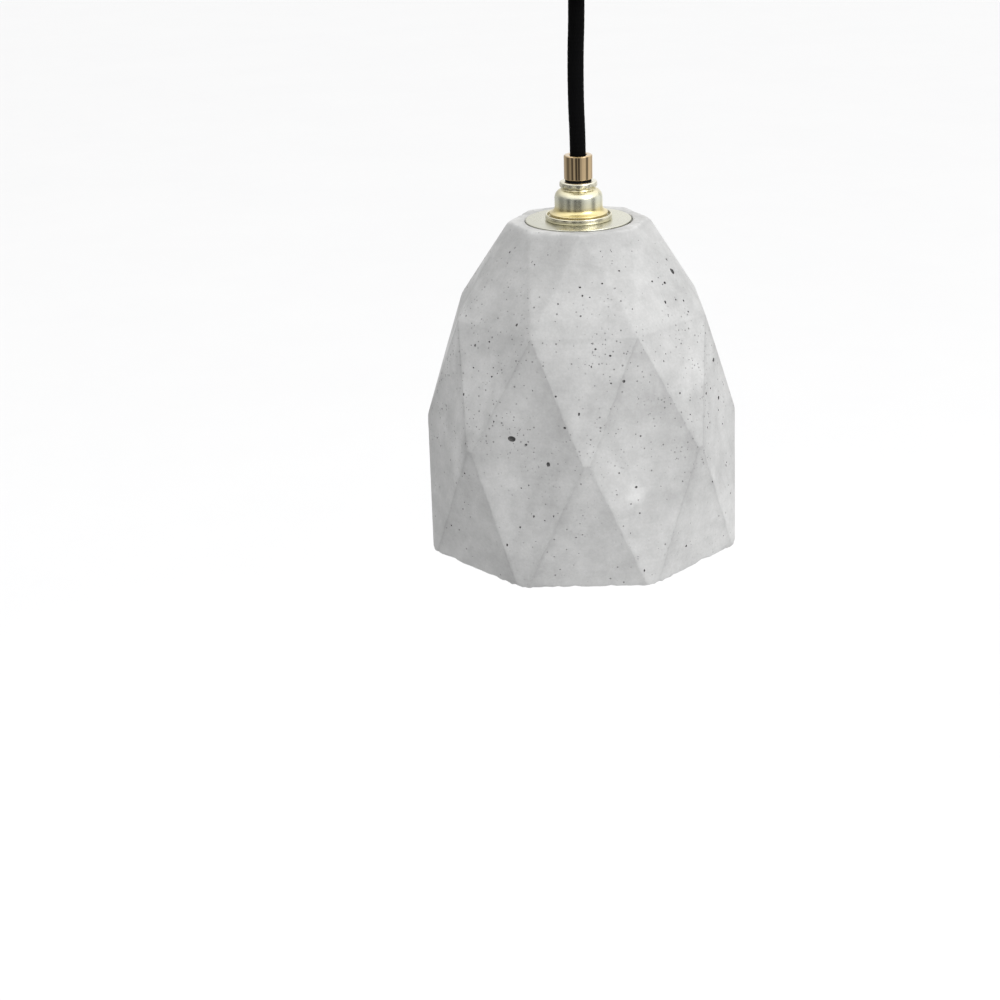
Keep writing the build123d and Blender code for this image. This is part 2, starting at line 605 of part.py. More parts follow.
EAR_X = CANOPY_RADIUS - CANOPY_WALL - 1.4
TAB_END = BLOCK_FRONT + BLOCK_SIZE[1]
with BuildPart() as ceiling_bracket:
    with BuildSketch(Plane.XY):
        Rectangle(2 * EAR_X, STRAP_WIDTH)
        with Locations((0, TAB_END / 2)):
            Rectangle(BLOCK_SIZE[0], TAB_END)
        with Locations((SCREW_SPACING / 2, 0), (-SCREW_SPACING / 2, 0)):
            Circle(SCREW_HOLE_RADIUS, mode=Mode.SUBTRACT)
        Circle(CABLE_HOLE_RADIUS, mode=Mode.SUBTRACT)
    extrude(amount=-STRAP_THICKNESS)
    with BuildSketch(Plane.XY):
        with Locations((EAR_X - STRAP_THICKNESS / 2, 0), (STRAP_THICKNESS / 2 - EAR_X, 0)):
            Rectangle(STRAP_THICKNESS, STRAP_WIDTH)
    extrude(amount=-EAR_LENGTH)
    with BuildSketch(Plane.YZ.offset(-EAR_X)):
        with Locations((0, -EAR_SCREW_DROP)):
            Circle(EAR_SCREW[0] + CLEAR)
    extrude(amount=2 * EAR_X, mode=Mode.SUBTRACT)
    with BuildSketch(Plane.XY.offset(-STRAP_THICKNESS)):
        with Locations((0, BLOCK_FRONT + BLOCK_SIZE[1] / 2)):
            Circle(1.5)
    extrude(amount=STRAP_THICKNESS, mode=Mode.SUBTRACT)
save(ceiling_bracket, "ceiling_bracket")

with BuildPart() as canopy_screws:
    for side in (1, -1):
        with BuildSketch(Plane.YZ.offset(side * CANOPY_RADIUS)):
            with Locations((0, -EAR_SCREW_DROP)):
                Circle(EAR_SCREW[0])
        extrude(amount=-side * EAR_SCREW[1])
        with BuildSketch(Plane.YZ.offset(side * CANOPY_RADIUS)):
            with Locations((0, -EAR_SCREW_DROP)):
                Circle(EAR_SCREW_HEAD[0])
        extrude(amount=side * EAR_SCREW_HEAD[1])
save(canopy_screws, "canopy_screws")

with BuildPart() as outlet_locknut:
    with BuildSketch(Plane.XY.offset(CANOPY_BOTTOM + CANOPY_WALL)):
        RegularPolygon(LOCKNUT_RADIUS, 6, major_radius=False)
        Circle(STUB_RADIUS + CLEAR, mode=Mode.SUBTRACT)
    extrude(amount=LOCKNUT_HEIGHT)
save(outlet_locknut, "outlet_locknut")

BLOCK_MIDDLE = BLOCK_FRONT + BLOCK_SIZE[1] / 2
POLES = (-POLE_PITCH, 0, POLE_PITCH)
SCREW_ROWS = (-4.0, 4.0)
SCREW_PLACES = [(x, BLOCK_MIDDLE + row) for x in POLES for row in SCREW_ROWS]
FIXING_X = POLE_PITCH / 2
SCREW_SINK = 0.8
with BuildPart() as terminal_block:
    with BuildSketch(Plane.XY.offset(BLOCK_TOP)):
        with Locations((0, BLOCK_MIDDLE)):
            Rectangle(BLOCK_SIZE[0], BLOCK_SIZE[1])
    extrude(amount=-BLOCK_SIZE[2])
    with BuildSketch(Plane.XY.offset(BLOCK_TOP)):
        with Locations((-FIXING_X, BLOCK_MIDDLE), (FIXING_X, BLOCK_MIDDLE)):
            Circle(CLAMP_SCREW_RADIUS)
    extrude(amount=-STRAP_THICKNESS, mode=Mode.SUBTRACT)
    with BuildSketch(Plane.XZ.offset(-BLOCK_FRONT)):
        with Locations(*[(x, WIRE_LEVEL) for x in POLES]):
            Circle(CLAMP_RADIUS + CLEAR)
    extrude(amount=-BLOCK_SIZE[1], mode=Mode.SUBTRACT)
    with BuildSketch(Plane.XY.offset(BLOCK_TOP - BLOCK_SIZE[2])):
        with Locations(*SCREW_PLACES):
            Circle(CLAMP_SCREW_RADIUS + 0.1)
    extrude(amount=BLOCK_SIZE[2] / 2, mode=Mode.SUBTRACT)
save(terminal_block, "terminal_block")

with BuildPart() as terminal_clamps:
    with BuildSketch(Plane.XZ.offset(-BLOCK_FRONT - 1.0)):
        with Locations(*[(x, WIRE_LEVEL) for x in POLES]):
            Circle(CLAMP_RADIUS)
            Circle(CLAMP_BORE, mode=Mode.SUBTRACT)
    extrude(amount=-(BLOCK_SIZE[1] - 2.0))
save(terminal_clamps, "terminal_clamps")

with BuildPart() as terminal_screws:
    screw_bottom = BLOCK_TOP - BLOCK_SIZE[2] + SCREW_SINK
    with BuildSketch(Plane.XY.offset(screw_bottom)):
        with Locations(*SCREW_PLACES):
            Circle(CLAMP_SCREW_RADIUS)
    extrude(amount=WIRE_LEVEL - CLAMP_RADIUS - CLEAR - screw_bottom)
save(terminal_screws, "terminal_screws")
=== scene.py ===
import functools
import itertools
import logging
import math
from dataclasses import dataclass
from enum import Enum
from typing import Callable, Optional, Sequence

import bmesh
import bpy
import numpy as np
from mathutils import Matrix, Vector


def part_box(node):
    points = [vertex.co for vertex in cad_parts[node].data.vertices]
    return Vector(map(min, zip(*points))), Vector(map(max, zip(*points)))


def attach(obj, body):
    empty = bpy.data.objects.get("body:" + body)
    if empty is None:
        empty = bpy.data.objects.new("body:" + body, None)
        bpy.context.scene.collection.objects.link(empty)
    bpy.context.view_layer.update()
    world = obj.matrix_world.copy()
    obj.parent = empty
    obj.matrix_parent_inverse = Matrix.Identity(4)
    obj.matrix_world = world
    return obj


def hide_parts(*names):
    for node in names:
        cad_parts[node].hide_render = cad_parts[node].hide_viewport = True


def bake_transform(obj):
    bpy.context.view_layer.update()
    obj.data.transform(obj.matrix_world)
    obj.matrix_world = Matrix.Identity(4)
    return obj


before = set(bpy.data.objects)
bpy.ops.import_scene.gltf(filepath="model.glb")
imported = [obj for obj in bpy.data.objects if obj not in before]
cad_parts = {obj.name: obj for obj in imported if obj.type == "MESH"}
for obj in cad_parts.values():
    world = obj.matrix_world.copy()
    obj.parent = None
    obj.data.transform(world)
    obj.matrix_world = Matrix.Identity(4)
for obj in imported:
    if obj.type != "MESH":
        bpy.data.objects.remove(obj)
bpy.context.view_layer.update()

MM = 0.001
TURN = 2 * math.pi
EIGHTH = math.pi / 4
RIM_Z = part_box("shade")[0].z
LOG = logging.getLogger("pendant")

Array = np.ndarray
Sheet = bpy.types.NodeTree
Node = bpy.types.Node
Socket = bpy.types.NodeSocket
Material = bpy.types.Material
Colour = tuple[float, float, float]
Corner = tuple[float, float, float]
Swell = Callable[[Array, Array, Array], tuple[Array, Array]]


# ------------------------------------------------------------------ surfaces
@dataclass
class Surface:
    """Points in metres, quads as rows of four point numbers, and an optional map place for each point."""

    points: Array
    quads: Array
    places: Optional[Array] = None


def grid(points: Array, wrap_rows: bool = False, wrap_columns: bool = False,
         places: Optional[Array] = None) -> Surface:
    """Quads between neighbours of a (rows, columns, 3) array of points.

    Args:
        points: where each crossing of the grid lies, in metres.
        wrap_rows: joins the last row to the first.
        wrap_columns: joins the last column to the first.
        places: map places of the same rows and columns.

    Returns:
        The surface.
    """
    rows, columns = points.shape[:2]
    index = np.arange(rows * columns).reshape(rows, columns)
    if wrap_rows:
        index = np.vstack([index, index[:1]])
    if wrap_columns:
        index = np.hstack([index, index[:, :1]])
    quads = np.stack([index[:-1, :-1], index[:-1, 1:], index[1:, 1:], index[1:, :-1]], axis=-1)
    flat = None if places is None else places.reshape(-1, 2)
    return Surface(points.reshape(-1, 3), quads.reshape(-1, 4), flat)


def joined(surfaces: Sequence[Surface]) -> Surface:
    """Several surfaces as one, with the point numbers moved on.

    Args:
        surfaces: the surfaces, in order.

    Returns:
        One surface that holds them all.
    """
    starts = np.cumsum([0] + [len(s.points) for s in surfaces[:-1]])
    quads = np.vstack([s.quads + start for s, start in zip(surfaces, starts)])
    return Surface(np.vstack([s.points for s in surfaces]), quads)


def rounded(corners: Sequence[Corner], steps: int = 5, closed: bool = True) -> Array:
    """An outline whose corners are rounded.

    Each corner is (radius, height, rounding). A rounded corner is the curve
    (1-t)^2 A + 2t(1-t) C + t^2 B between the points A and B that lie one rounding from the corner C.

    Args:
        corners: the corners, in millimetres.
        steps: points on each rounded corner.
        closed: whether the last corner joins the first.

    Returns:
        The outline's points, (count, 2), in millimetres.
    """
    given = np.array(corners, float)
    out = []
    t = np.linspace(0, 1, steps)[:, None]
    for number, (radius, height, rounding) in enumerate(given):
        middle = np.array([radius, height])
        at_end = not closed and number in (0, len(given) - 1)
        if rounding <= 0 or at_end:
            out.append(middle[None])
            continue
        before = given[number - 1, :2] - middle
        after = given[(number + 1) % len(given), :2] - middle
        reach_before = min(rounding, 0.49 * np.linalg.norm(before))
        reach_after = min(rounding, 0.49 * np.linalg.norm(after))
        first = middle + before / np.linalg.norm(before) * reach_before
        last = middle + after / np.linalg.norm(after) * reach_after
        out.append((1 - t) ** 2 * first + 2 * t * (1 - t) * middle + t ** 2 * last)
    return np.vstack(out)


def arc_through(start: Sequence[float], middle: Sequence[float], end: Sequence[float], steps: int) -> Array:
    """Points of the circle's arc through three points, from start to end.

    Args:
        start: first point, (radius, height).
        middle: a point between.
        end: last point.
        steps: number of points.

    Returns:
        The points, (steps, 2).
    """
    a, b, c = (np.array(p, float) for p in (start, middle, end))
    rows = 2 * np.array([b - a, c - a])
    centre = np.linalg.solve(rows, [b @ b - a @ a, c @ c - a @ a])
    angles = [math.atan2(*(p - centre)[::-1]) for p in (a, b, c)]
    turn = (angles[2] - angles[0]) % TURN
    if (angles[1] - angles[0]) % TURN > turn:
        turn -= TURN
    swept = angles[0] + turn * np.linspace(0, 1, steps)
    return centre + np.linalg.norm(a - centre) * np.stack([np.cos(swept), np.sin(swept)], axis=-1)


def revolved(profile: Array, base: float, segments: int = 96, closed: bool = True,
             swell: Optional[Swell] = None) -> Surface:
    """A profile carried round the Z axis: (r cos a, r sin a, z) for every angle a.

    Args:
        profile: (radius, height) points in millimetres.
        base: Z of height zero, in metres.
        segments: steps round the axis.
        closed: whether the profile is a loop. An open one starts and ends on the axis.
        swell: changes (angle, radius, height) arrays into new (radius, height) arrays.

    Returns:
        The surface.
    """
    angle = np.linspace(0, TURN, segments, endpoint=False)[None, :]
    radius = np.repeat(profile[:, :1], segments, axis=1)
    height = np.repeat(profile[:, 1:], segments, axis=1)
    if swell is not None:
        radius, height = swell(angle, radius, height)
    points = np.stack([radius * np.cos(angle), radius * np.sin(angle), height], axis=-1) * MM
    points[..., 2] += base
    return grid(points, wrap_rows=closed, wrap_columns=True)


def value_noise(points: Array, size: float, seed: int) -> Array:
    """A smooth random field from 0 to 1.

    Random numbers stand on a cubic lattice, and are eased between its corners by 3t^2 - 2t^3.

    Args:
        points: (count, 3) places.
        size: side of a lattice cell, in the same unit.
        seed: number that picks the field.

    Returns:
        The field at each point.
    """
    place = points / size
    cell = np.floor(place).astype(np.int64)
    part = place - cell
    part = part * part * (3 - 2 * part)
    total = np.zeros(len(points))
    for corner in itertools.product((0, 1), repeat=3):
        spot = cell + np.array(corner)
        mixed = (spot[:, 0] * 73856093) ^ (spot[:, 1] * 19349663) ^ (spot[:, 2] * 83492791) ^ (seed * 7919)
        mixed = ((mixed ^ (mixed >> 13)) * 1274126177) & 0xFFFFFFFF
        value = ((mixed ^ (mixed >> 15)) & 0xFFFF) / 65535.0
        total += value * np.prod(np.where(corner, part, 1 - part), axis=1)
    return total


def crowded(share: Array, pull: float = 0.55) -> Array:
    """Moves even steps from 0 to 1 towards both ends: t - pull * sin(2 pi t) / (2 pi).

    Args:
        share: even steps from 0 to 1.
        pull: how strongly they crowd, from 0 to 1.

    Returns:
        The moved steps.
    """
    return share - pull * np.sin(TURN * share) / TURN


def tube(path: Array, radius: float, around: int, swell: Optional[Callable[[Array, Array], Array]] = None,
         domed: bool = True) -> Surface:
    """A round skin along a path, with domed or flat closed ends.

    Each ring is centre + r (cos a N + sin a B), where N is carried along the path without twist.
    The map place is (share of the way round, millimetres along).

    Args:
        path: (count, 3) centre points in metres.
        radius: in metres.
        around: points in a ring.
        swell: from (angle, distance along in metres) arrays to an added radius in metres.
        domed: whether the ends are half balls; otherwise they are flat.

    Returns:
        The surface, with its map places.
    """
    step = np.gradient(path, axis=0)
    ahead = step / np.linalg.norm(step, axis=1)[:, None]
    side = [np.cross(ahead[0], [0.0, 1.0, 0.0] if abs(ahead[0][1]) < 0.9 else [1.0, 0.0, 0.0])]
    for direction in ahead[1:]:
        side.append(side[-1] - direction * (side[-1] @ direction))
    side = np.array(side) / np.linalg.norm(side, axis=1)[:, None]
    up = np.cross(ahead, side)
    along = np.concatenate([[0], np.cumsum(np.linalg.norm(np.diff(path, axis=0), axis=1))])
    angle = np.linspace(0, TURN, around + 1)[None, :]
    reach = np.full((len(path), around + 1), radius)
    if swell is not None:
        reach = reach + swell(angle, along[:, None])
    ring = np.cos(angle)[..., None] * side[:, None] + np.sin(angle)[..., None] * up[:, None]
    skin = path[:, None] + reach[..., None] * ring
    caps = np.linspace(0, math.pi / 2, 6)[1:]
    lift = radius * np.sin(caps) * (1.0 if domed else 0.02)
    first = path[0] + (skin[0] - path[0]) * np.cos(caps)[:, None, None] - ahead[0] * lift[:, None, None]
    last = path[-1] + (skin[-1] - path[-1]) * np.cos(caps)[:, None, None] + ahead[-1] * lift[:, None, None]
    points = np.concatenate([first[::-1], skin, last])
    distance = np.concatenate([-lift[::-1], along, along[-1] + lift])
    places = np.stack(np.broadcast_arrays(angle / TURN, distance[:, None] / MM), axis=-1)
    return grid(points, places=places)


def solid(name: str, surface: Surface, material: Material, sharp_deg: float = 38.0) -> bpy.types.Object:
    """Puts a surface into a mesh, closes its seams and poles, and turns its faces outwards.

    Args:
        name: the piece's name.
        surface: its points and quads.
        material: its finish.
        sharp_deg: edges that turn by more than this stay sharp.

    Returns:
        The object, at the origin.
    """
    mesh = bpy.data.meshes.new(name)
    mesh.vertices.add(len(surface.points))
    mesh.vertices.foreach_set("co", surface.points.astype(np.float32).ravel())
    mesh.loops.add(surface.quads.size)
    mesh.loops.foreach_set("vertex_index", surface.quads.astype(np.int32).ravel())
    mesh.polygons.add(len(surface.quads))
    mesh.polygons.foreach_set("loop_start", np.arange(0, surface.quads.size, 4, dtype=np.int32))
    mesh.update(calc_edges=True)
    if surface.places is not None:
        layer = mesh.uv_layers.new(name="UVMap")
        layer.data.foreach_set("uv", surface.places[surface.quads.ravel()].astype(np.float32).ravel())
    closed(mesh, sharp_deg)
    made = bpy.data.objects.new(name, mesh)
    bpy.context.scene.collection.objects.link(made)
    mesh.materials.append(material)
    return made


def closed(mesh: bpy.types.Mesh, sharp_deg: float) -> None:
    """Merges double points, turns faces outwards and marks sharp edges.

    Args:
        mesh: the mesh to finish.
        sharp_deg: edges that turn by more than this stay sharp.
    """
    work = bmesh.new()
    work.from_mesh(mesh)
    bmesh.ops.remove_doubles(work, verts=work.verts, dist=5e-7)
    bmesh.ops.dissolve_degenerate(work, edges=work.edges, dist=1e-7)
    bmesh.ops.recalc_face_normals(work, faces=work.faces)
    work.to_mesh(mesh)
    work.free()
    mesh.polygons.foreach_set("use_smooth", np.ones(len(mesh.polygons), bool))
    mesh.set_sharp_from_angle(angle=math.radians(sharp_deg))


def with_cuts(body: bpy.types.Object, cutter: bpy.types.Object, sharp_deg: float) -> None:
    """Cuts one object out of another for good, and removes the cutter.

    Args:
        body: the object that is cut. The cut faces take the cutter's material.
        cutter: the closed shapes to take away.
        sharp_deg: edges that turn by more than this stay sharp.
    """
    change = body.modifiers.new("cuts", "BOOLEAN")
    change.object = cutter
    change.operation = "DIFFERENCE"
    change.solver = "EXACT"
    change.material_mode = "TRANSFER"
    graph = bpy.context.evaluated_depsgraph_get()
    cut = bpy.data.meshes.new_from_object(body.evaluated_get(graph), depsgraph=graph)
    body.modifiers.clear()
    body.data = cut
    cut.polygons.foreach_set("use_smooth", np.ones(len(cut.polygons), bool))
    cut.set_sharp_from_angle(angle=math.radians(sharp_deg))
    bpy.data.objects.remove(cutter)


def eased_copy(node: str, name: str, material: Material, rounding: float = 0.25,
               sharp_deg: float = 35.0) -> bpy.types.Object:
    """A merged copy of a CAD node with rounded edges, which stands for that node.

    Args:
        node: the CAD node.
        name: the new piece's name.
        material: its finish.
        rounding: width of the rounded edges, in millimetres. Zero leaves them as they are.
        sharp_deg: edges that turn by more than this are rounded.

    Returns:
        The new object.
    """
    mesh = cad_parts[node].data.copy()
    mesh.name = name
    mesh.materials.clear()
    work = bmesh.new()
    work.from_mesh(mesh)
    bmesh.ops.remove_doubles(work, verts=work.verts, dist=1e-6)
    bmesh.ops.dissolve_limit(work, angle_limit=math.radians(1.0), verts=work.verts, edges=work.edges)
    work.to_mesh(mesh)
    work.free()
    if mesh.has_custom_normals:
        mesh.attributes.remove(mesh.attributes["custom_normal"])
    mesh.polygons.foreach_set("use_smooth", np.ones(len(mesh.polygons), bool))
    mesh.set_sharp_from_angle(angle=math.radians(sharp_deg))
    made = bpy.data.objects.new(name, mesh)
    bpy.context.scene.collection.objects.link(made)
    mesh.materials.append(material)
    if rounding > 0:
        bevel = made.modifiers.new("edges", "BEVEL")
        bevel.width = rounding * MM
        bevel.segments = 2
        bevel.limit_method = "ANGLE"
        bevel.angle_limit = math.radians(sharp_deg)
        bevel.use_clamp_overlap = True
        bevel.harden_normals = False
    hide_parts(node)
    return made


def placed(piece: bpy.types.Object, body: str, slot: str, *nodes: str) -> bpy.types.Object:
    """Fixes a piece to its body, hides the CAD nodes it stands for, and reports it.

    Args:
        piece: the finished piece.
        body: the CAD body that carries it.
        slot: the record's material slot; not used.
        nodes: CAD nodes that it stands for.

    Returns:
        The same piece.
    """
    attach(piece, body)
    if nodes:
        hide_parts(*nodes)
    LOG.info("%s: %d faces on %s", piece.name, len(piece.data.polygons), body)
    return piece


# ------------------------------------------------------------------ node sheets and shared effects
Inputs = dict[object, object]


def put(tree: Sheet, kind: str, inputs: Optional[Inputs] = None, **settings: object) -> Node:
    """Adds a node, sets it up, and joins or sets its inputs.

    Args:
        tree: the material's or group's sheet.
        kind: the node's type name.
        inputs: for each input's name or number, an output socket to join or a value to set.
        settings: properties of the node itself.

    Returns:
        The node.
    """
    node = tree.nodes.new(kind)
    for key, value in settings.items():
        setattr(node, key, value)
    for key, value in (inputs or {}).items():
        if isinstance(value, Socket):
            tree.links.new(value, node.inputs[key])
        else:
            node.inputs[key].default_value = value
    return node


def ramp(tree: Sheet, source: Socket, stops: Sequence[tuple[float, tuple]]) -> Socket:
    """Colours along a value.

    Args:
        tree: the sheet.
        source: the value, from 0 to 1.
        stops: (place, (red, green, blue)) pairs.

    Returns:
        The colour socket.
    """
    node = put(tree, "ShaderNodeValToRGB", {"Fac": source})
    scale = node.color_ramp.elements
    while len(scale) < len(stops):
        scale.new(0.5)
    for element, (place, colour) in zip(scale, stops):
        element.position = place
        element.color = (*colour, 1.0)
    return node.outputs["Color"]


def mapped(tree: Sheet, source: Socket, low: float, high: float,
           to_low: float = 0.0, to_high: float = 1.0) -> Socket:
    """A value moved from one range to another and kept inside it.

    Args:
        tree: the sheet.
        source: the value.
        low: where the first range starts.
        high: where it ends.
        to_low: where the second range starts.
        to_high: where it ends.

    Returns:
        The moved value.
    """
    node = put(tree, "ShaderNodeMapRange", {0: source, 1: low, 2: high, 3: to_low, 4: to_high}, clamp=True)
    return node.outputs[0]


def maths(tree: Sheet, operation: str, *values: object) -> Socket:
    """The result of a maths node on sockets or numbers.

    Args:
        tree: the sheet.
        operation: the node's operation.
        values: sockets or numbers.

    Returns:
        The result's socket.
    """
    return put(tree, "ShaderNodeMath", dict(enumerate(values)), operation=operation).outputs[0]


def mixed(tree: Sheet, share: object, first: object, second: object) -> Socket:
    """A mix of two colours, each a socket or four numbers.

    Args:
        tree: the sheet.
        share: share of the second colour, a socket or a number.
        first: the first colour.
        second: the second colour.

    Returns:
        The mix's socket.
    """
    node = put(tree, "ShaderNodeMix", {0: share, 6: first, 7: second}, data_type="RGBA")
    return node.outputs[2]


class Effect:
    """A shader node group with named inputs and outputs, built once and placed in each material."""

    built: dict[str, Sheet] = {}

    def __init__(self, name: str, inputs: dict[str, object], outputs: Sequence[str],
                 fill: Callable[[Sheet, Node], Sequence[Socket]]) -> None:
        """Names the effect, its sockets, and the function that fills its sheet.

        Args:
            name: the group's name.
            inputs: value of each input, or None for a vector.
            outputs: names of the outputs.
            fill: makes the group's nodes and gives the output sockets in order.
        """
        self.name, self.inputs, self.outputs, self.fill = name, inputs, outputs, fill

    def tree(self) -> Sheet:
        """The group's sheet, made at its first use.

        Returns:
            The group's sheet.
        """
        if self.name not in Effect.built:
            group = bpy.data.node_groups.new(self.name, "ShaderNodeTree")
            for name, value in self.inputs.items():
                kind = "NodeSocketVector" if value is None else "NodeSocketFloat"
                socket = group.interface.new_socket(name=name, in_out="INPUT", socket_type=kind)
                if value is not None:
                    socket.default_value = value
            for name in self.outputs:
                group.interface.new_socket(name=name, in_out="OUTPUT", socket_type="NodeSocketFloat")
            source = group.nodes.new("NodeGroupInput")
            results = self.fill(group, source)
            sink = group.nodes.new("NodeGroupOutput")
            for number, result in enumerate(results):
                group.links.new(result, sink.inputs[number])
            Effect.built[self.name] = group
        return Effect.built[self.name]

    def place(self, tree: Sheet, **inputs: object) -> Node:
        """Places the group in a sheet with its own values.

        Args:
            tree: the material's sheet.
            inputs: a socket or a number for each input.

        Returns:
            The placed group.
        """
        node = tree.nodes.new("ShaderNodeGroup")
        node.node_tree = self.tree()
        for key, value in inputs.items():
            socket = node.inputs[key.capitalize()]
            if isinstance(value, Socket):
                tree.links.new(value, socket)
            else:
                socket.default_value = value
        return node


def fill_mottle(tree: Sheet, source: Node) -> Sequence[Socket]:
    """Broad cloudy patches broken up by finer ones.

    Args:
        tree: the group's sheet.
        source: the group's input node.

    Returns:
        The mask, from 0 to 1.
    """
    broad = put(tree, "ShaderNodeTexNoise", {
        "Vector": source.outputs["Vector"], "Scale": source.outputs["Scale"], "Detail": 5.0,
        "Roughness": 0.62})
    finer = maths(tree, "MULTIPLY", source.outputs["Scale"], 6.0)
    fine = put(tree, "ShaderNodeTexNoise", {
        "Vector": source.outputs["Vector"], "Scale": finer, "Detail": 3.0})
    both = maths(tree, "ADD", maths(tree, "MULTIPLY", broad.outputs[0], 0.7),
                 maths(tree, "MULTIPLY", fine.outputs[0], 0.3))
    return [mapped(tree, both, 0.34, 0.66)]


def fill_pores(tree: Sheet, source: Node) -> Sequence[Socket]:
    """Round spots in some cells: within Size of the cell's point, where the cell's chance is under Share.

    Args:
        tree: the group's sheet.
        source: the group's input node.

    Returns:
        The mask, 1 inside a spot.
    """
    cells = put(tree, "ShaderNodeTexVoronoi", {
        "Vector": source.outputs["Vector"], "Scale": source.outputs["Scale"], "Randomness": 1.0})
    chance = put(tree, "ShaderNodeSeparateColor", {"Color": cells.outputs["Color"]})
    chosen = maths(tree, "LESS_THAN", chance.outputs[0], source.outputs["Share"])
    size = maths(tree, "MULTIPLY", source.outputs["Size"], maths(tree, "ADD", chance.outputs[1], 0.4))
    edge = maths(tree, "DIVIDE", cells.outputs["Distance"], size)
    return [maths(tree, "MULTIPLY", mapped(tree, edge, 1.1, 0.75), chosen)]


def fill_turning(tree: Sheet, source: Node) -> Sequence[Socket]:
    """Fine lathe lines: noise over (distance from the Z axis, height), the same all the way round.

    Args:
        tree: the group's sheet.
        source: the group's input node.

    Returns:
        The height.
    """
    parts = put(tree, "ShaderNodeSeparateXYZ", {"Vector": source.outputs["Vector"]})
    flat = put(tree, "ShaderNodeCombineXYZ", {"X": parts.outputs[0], "Y": parts.outputs[1]})
    length = put(tree, "ShaderNodeVectorMath", {0: flat.outputs[0]}, operation="LENGTH")
    place = put(tree, "ShaderNodeCombineXYZ", {"X": length.outputs["Value"], "Y": parts.outputs[2]})
    lines = put(tree, "ShaderNodeTexNoise", {"Vector": place.outputs[0], "Scale": source.outputs["Scale"],
                                             "Detail": 2.0, "Roughness": 0.7})
    return [lines.outputs[0]]


def fill_smudge(tree: Sheet, source: Node) -> Sequence[Socket]:
    """Faint handling marks: soft cloudy patches with short streaks across them.

    Args:
        tree: the group's sheet.
        source: the group's input node.

    Returns:
        The mask, from 0 to 1.
    """
    cloud = put(tree, "ShaderNodeTexNoise", {
        "Vector": source.outputs["Vector"], "Scale": source.outputs["Scale"], "Detail": 4.0,
        "Distortion": 0.6})
    stretch = put(tree, "ShaderNodeVectorMath", {0: source.outputs["Vector"], 1: (1.0, 1.0, 0.22)},
                  operation="MULTIPLY")
    streak_scale = maths(tree, "MULTIPLY", source.outputs["Scale"], 7.0)
    streak = put(tree, "ShaderNodeTexNoise", {
        "Vector": stretch.outputs[0], "Scale": streak_scale, "Detail": 2.0})
    both = maths(tree, "MULTIPLY", cloud.outputs[0], maths(tree, "ADD", streak.outputs[0], 0.5))
    return [mapped(tree, both, 0.3, 0.75)]


def fill_braid(tree: Sheet, source: Node) -> Sequence[Socket]:
    """Filaments in a braid's yarns: waves along two slanting directions of the cord's own map.

    Args:
        tree: the group's sheet.
        source: the group's input node.

    Returns:
        The height of the filaments, and the fuzz.
    """
    parts = put(tree, "ShaderNodeSeparateXYZ", {"Vector": source.outputs["Vector"]})
    around = maths(tree, "MULTIPLY", parts.outputs[0], source.outputs["Yarns"])
    along = maths(tree, "DIVIDE", parts.outputs[1], source.outputs["Pitch"])
    waves = []
    for sign in ("ADD", "SUBTRACT"):
        slant = maths(tree, sign, around, along)
        waves.append(maths(tree, "SINE", maths(tree, "MULTIPLY", slant, TURN * 3)))
    together = maths(tree, "ADD", maths(tree, "MAXIMUM", waves[0], waves[1]), 1.0)
    fuzz = put(tree, "ShaderNodeTexNoise", {"Vector": source.outputs["Vector"], "Scale": 9.0, "Detail": 2.0})
    return [maths(tree, "MULTIPLY", together, 0.5), fuzz.outputs[0]]


MOTTLE = Effect("mottle", {"Vector": None, "Scale": 20.0}, ["Mask"], fill_mottle)
PORES = Effect("pores", {"Vector": None, "Scale": 200.0, "Size": 0.2, "Share": 0.3}, ["Mask"], fill_pores)
TURNING = Effect("turning", {"Vector": None, "Scale": 3000.0}, ["Height"], fill_turning)
SMUDGE = Effect("smudge", {"Vector": None, "Scale": 60.0}, ["Mask"], fill_smudge)
BRAID = Effect("braid", {"Vector": None, "Yarns": 12.0, "Pitch": 11.0}, ["Height", "Fuzz"], fill_braid)


def new_sheet(name: str) -> tuple[Material, Sheet, Node, Socket]:
    """An empty material with its shader joined up.

    Args:
        name: the material's name.

    Returns:
        The material, its sheet, its Principled shader and the object coordinates.
    """
    material = bpy.data.materials.new(name)
    material.use_nodes = True
    tree = material.node_tree
    tree.nodes.clear()
    shader = tree.nodes.new("ShaderNodeBsdfPrincipled")
    put(tree, "ShaderNodeOutputMaterial", {"Surface": shader.outputs[0]})
    coordinates = tree.nodes.new("ShaderNodeTexCoord")
    return material, tree, shader, coordinates.outputs["Object"]


def four(colour: Colour) -> tuple[float, float, float, float]:
    """A colour with full opacity.

    Args:
        colour: red, green and blue.

    Returns:
        Red, green, blue and 1.
    """
    return (*colour, 1.0)


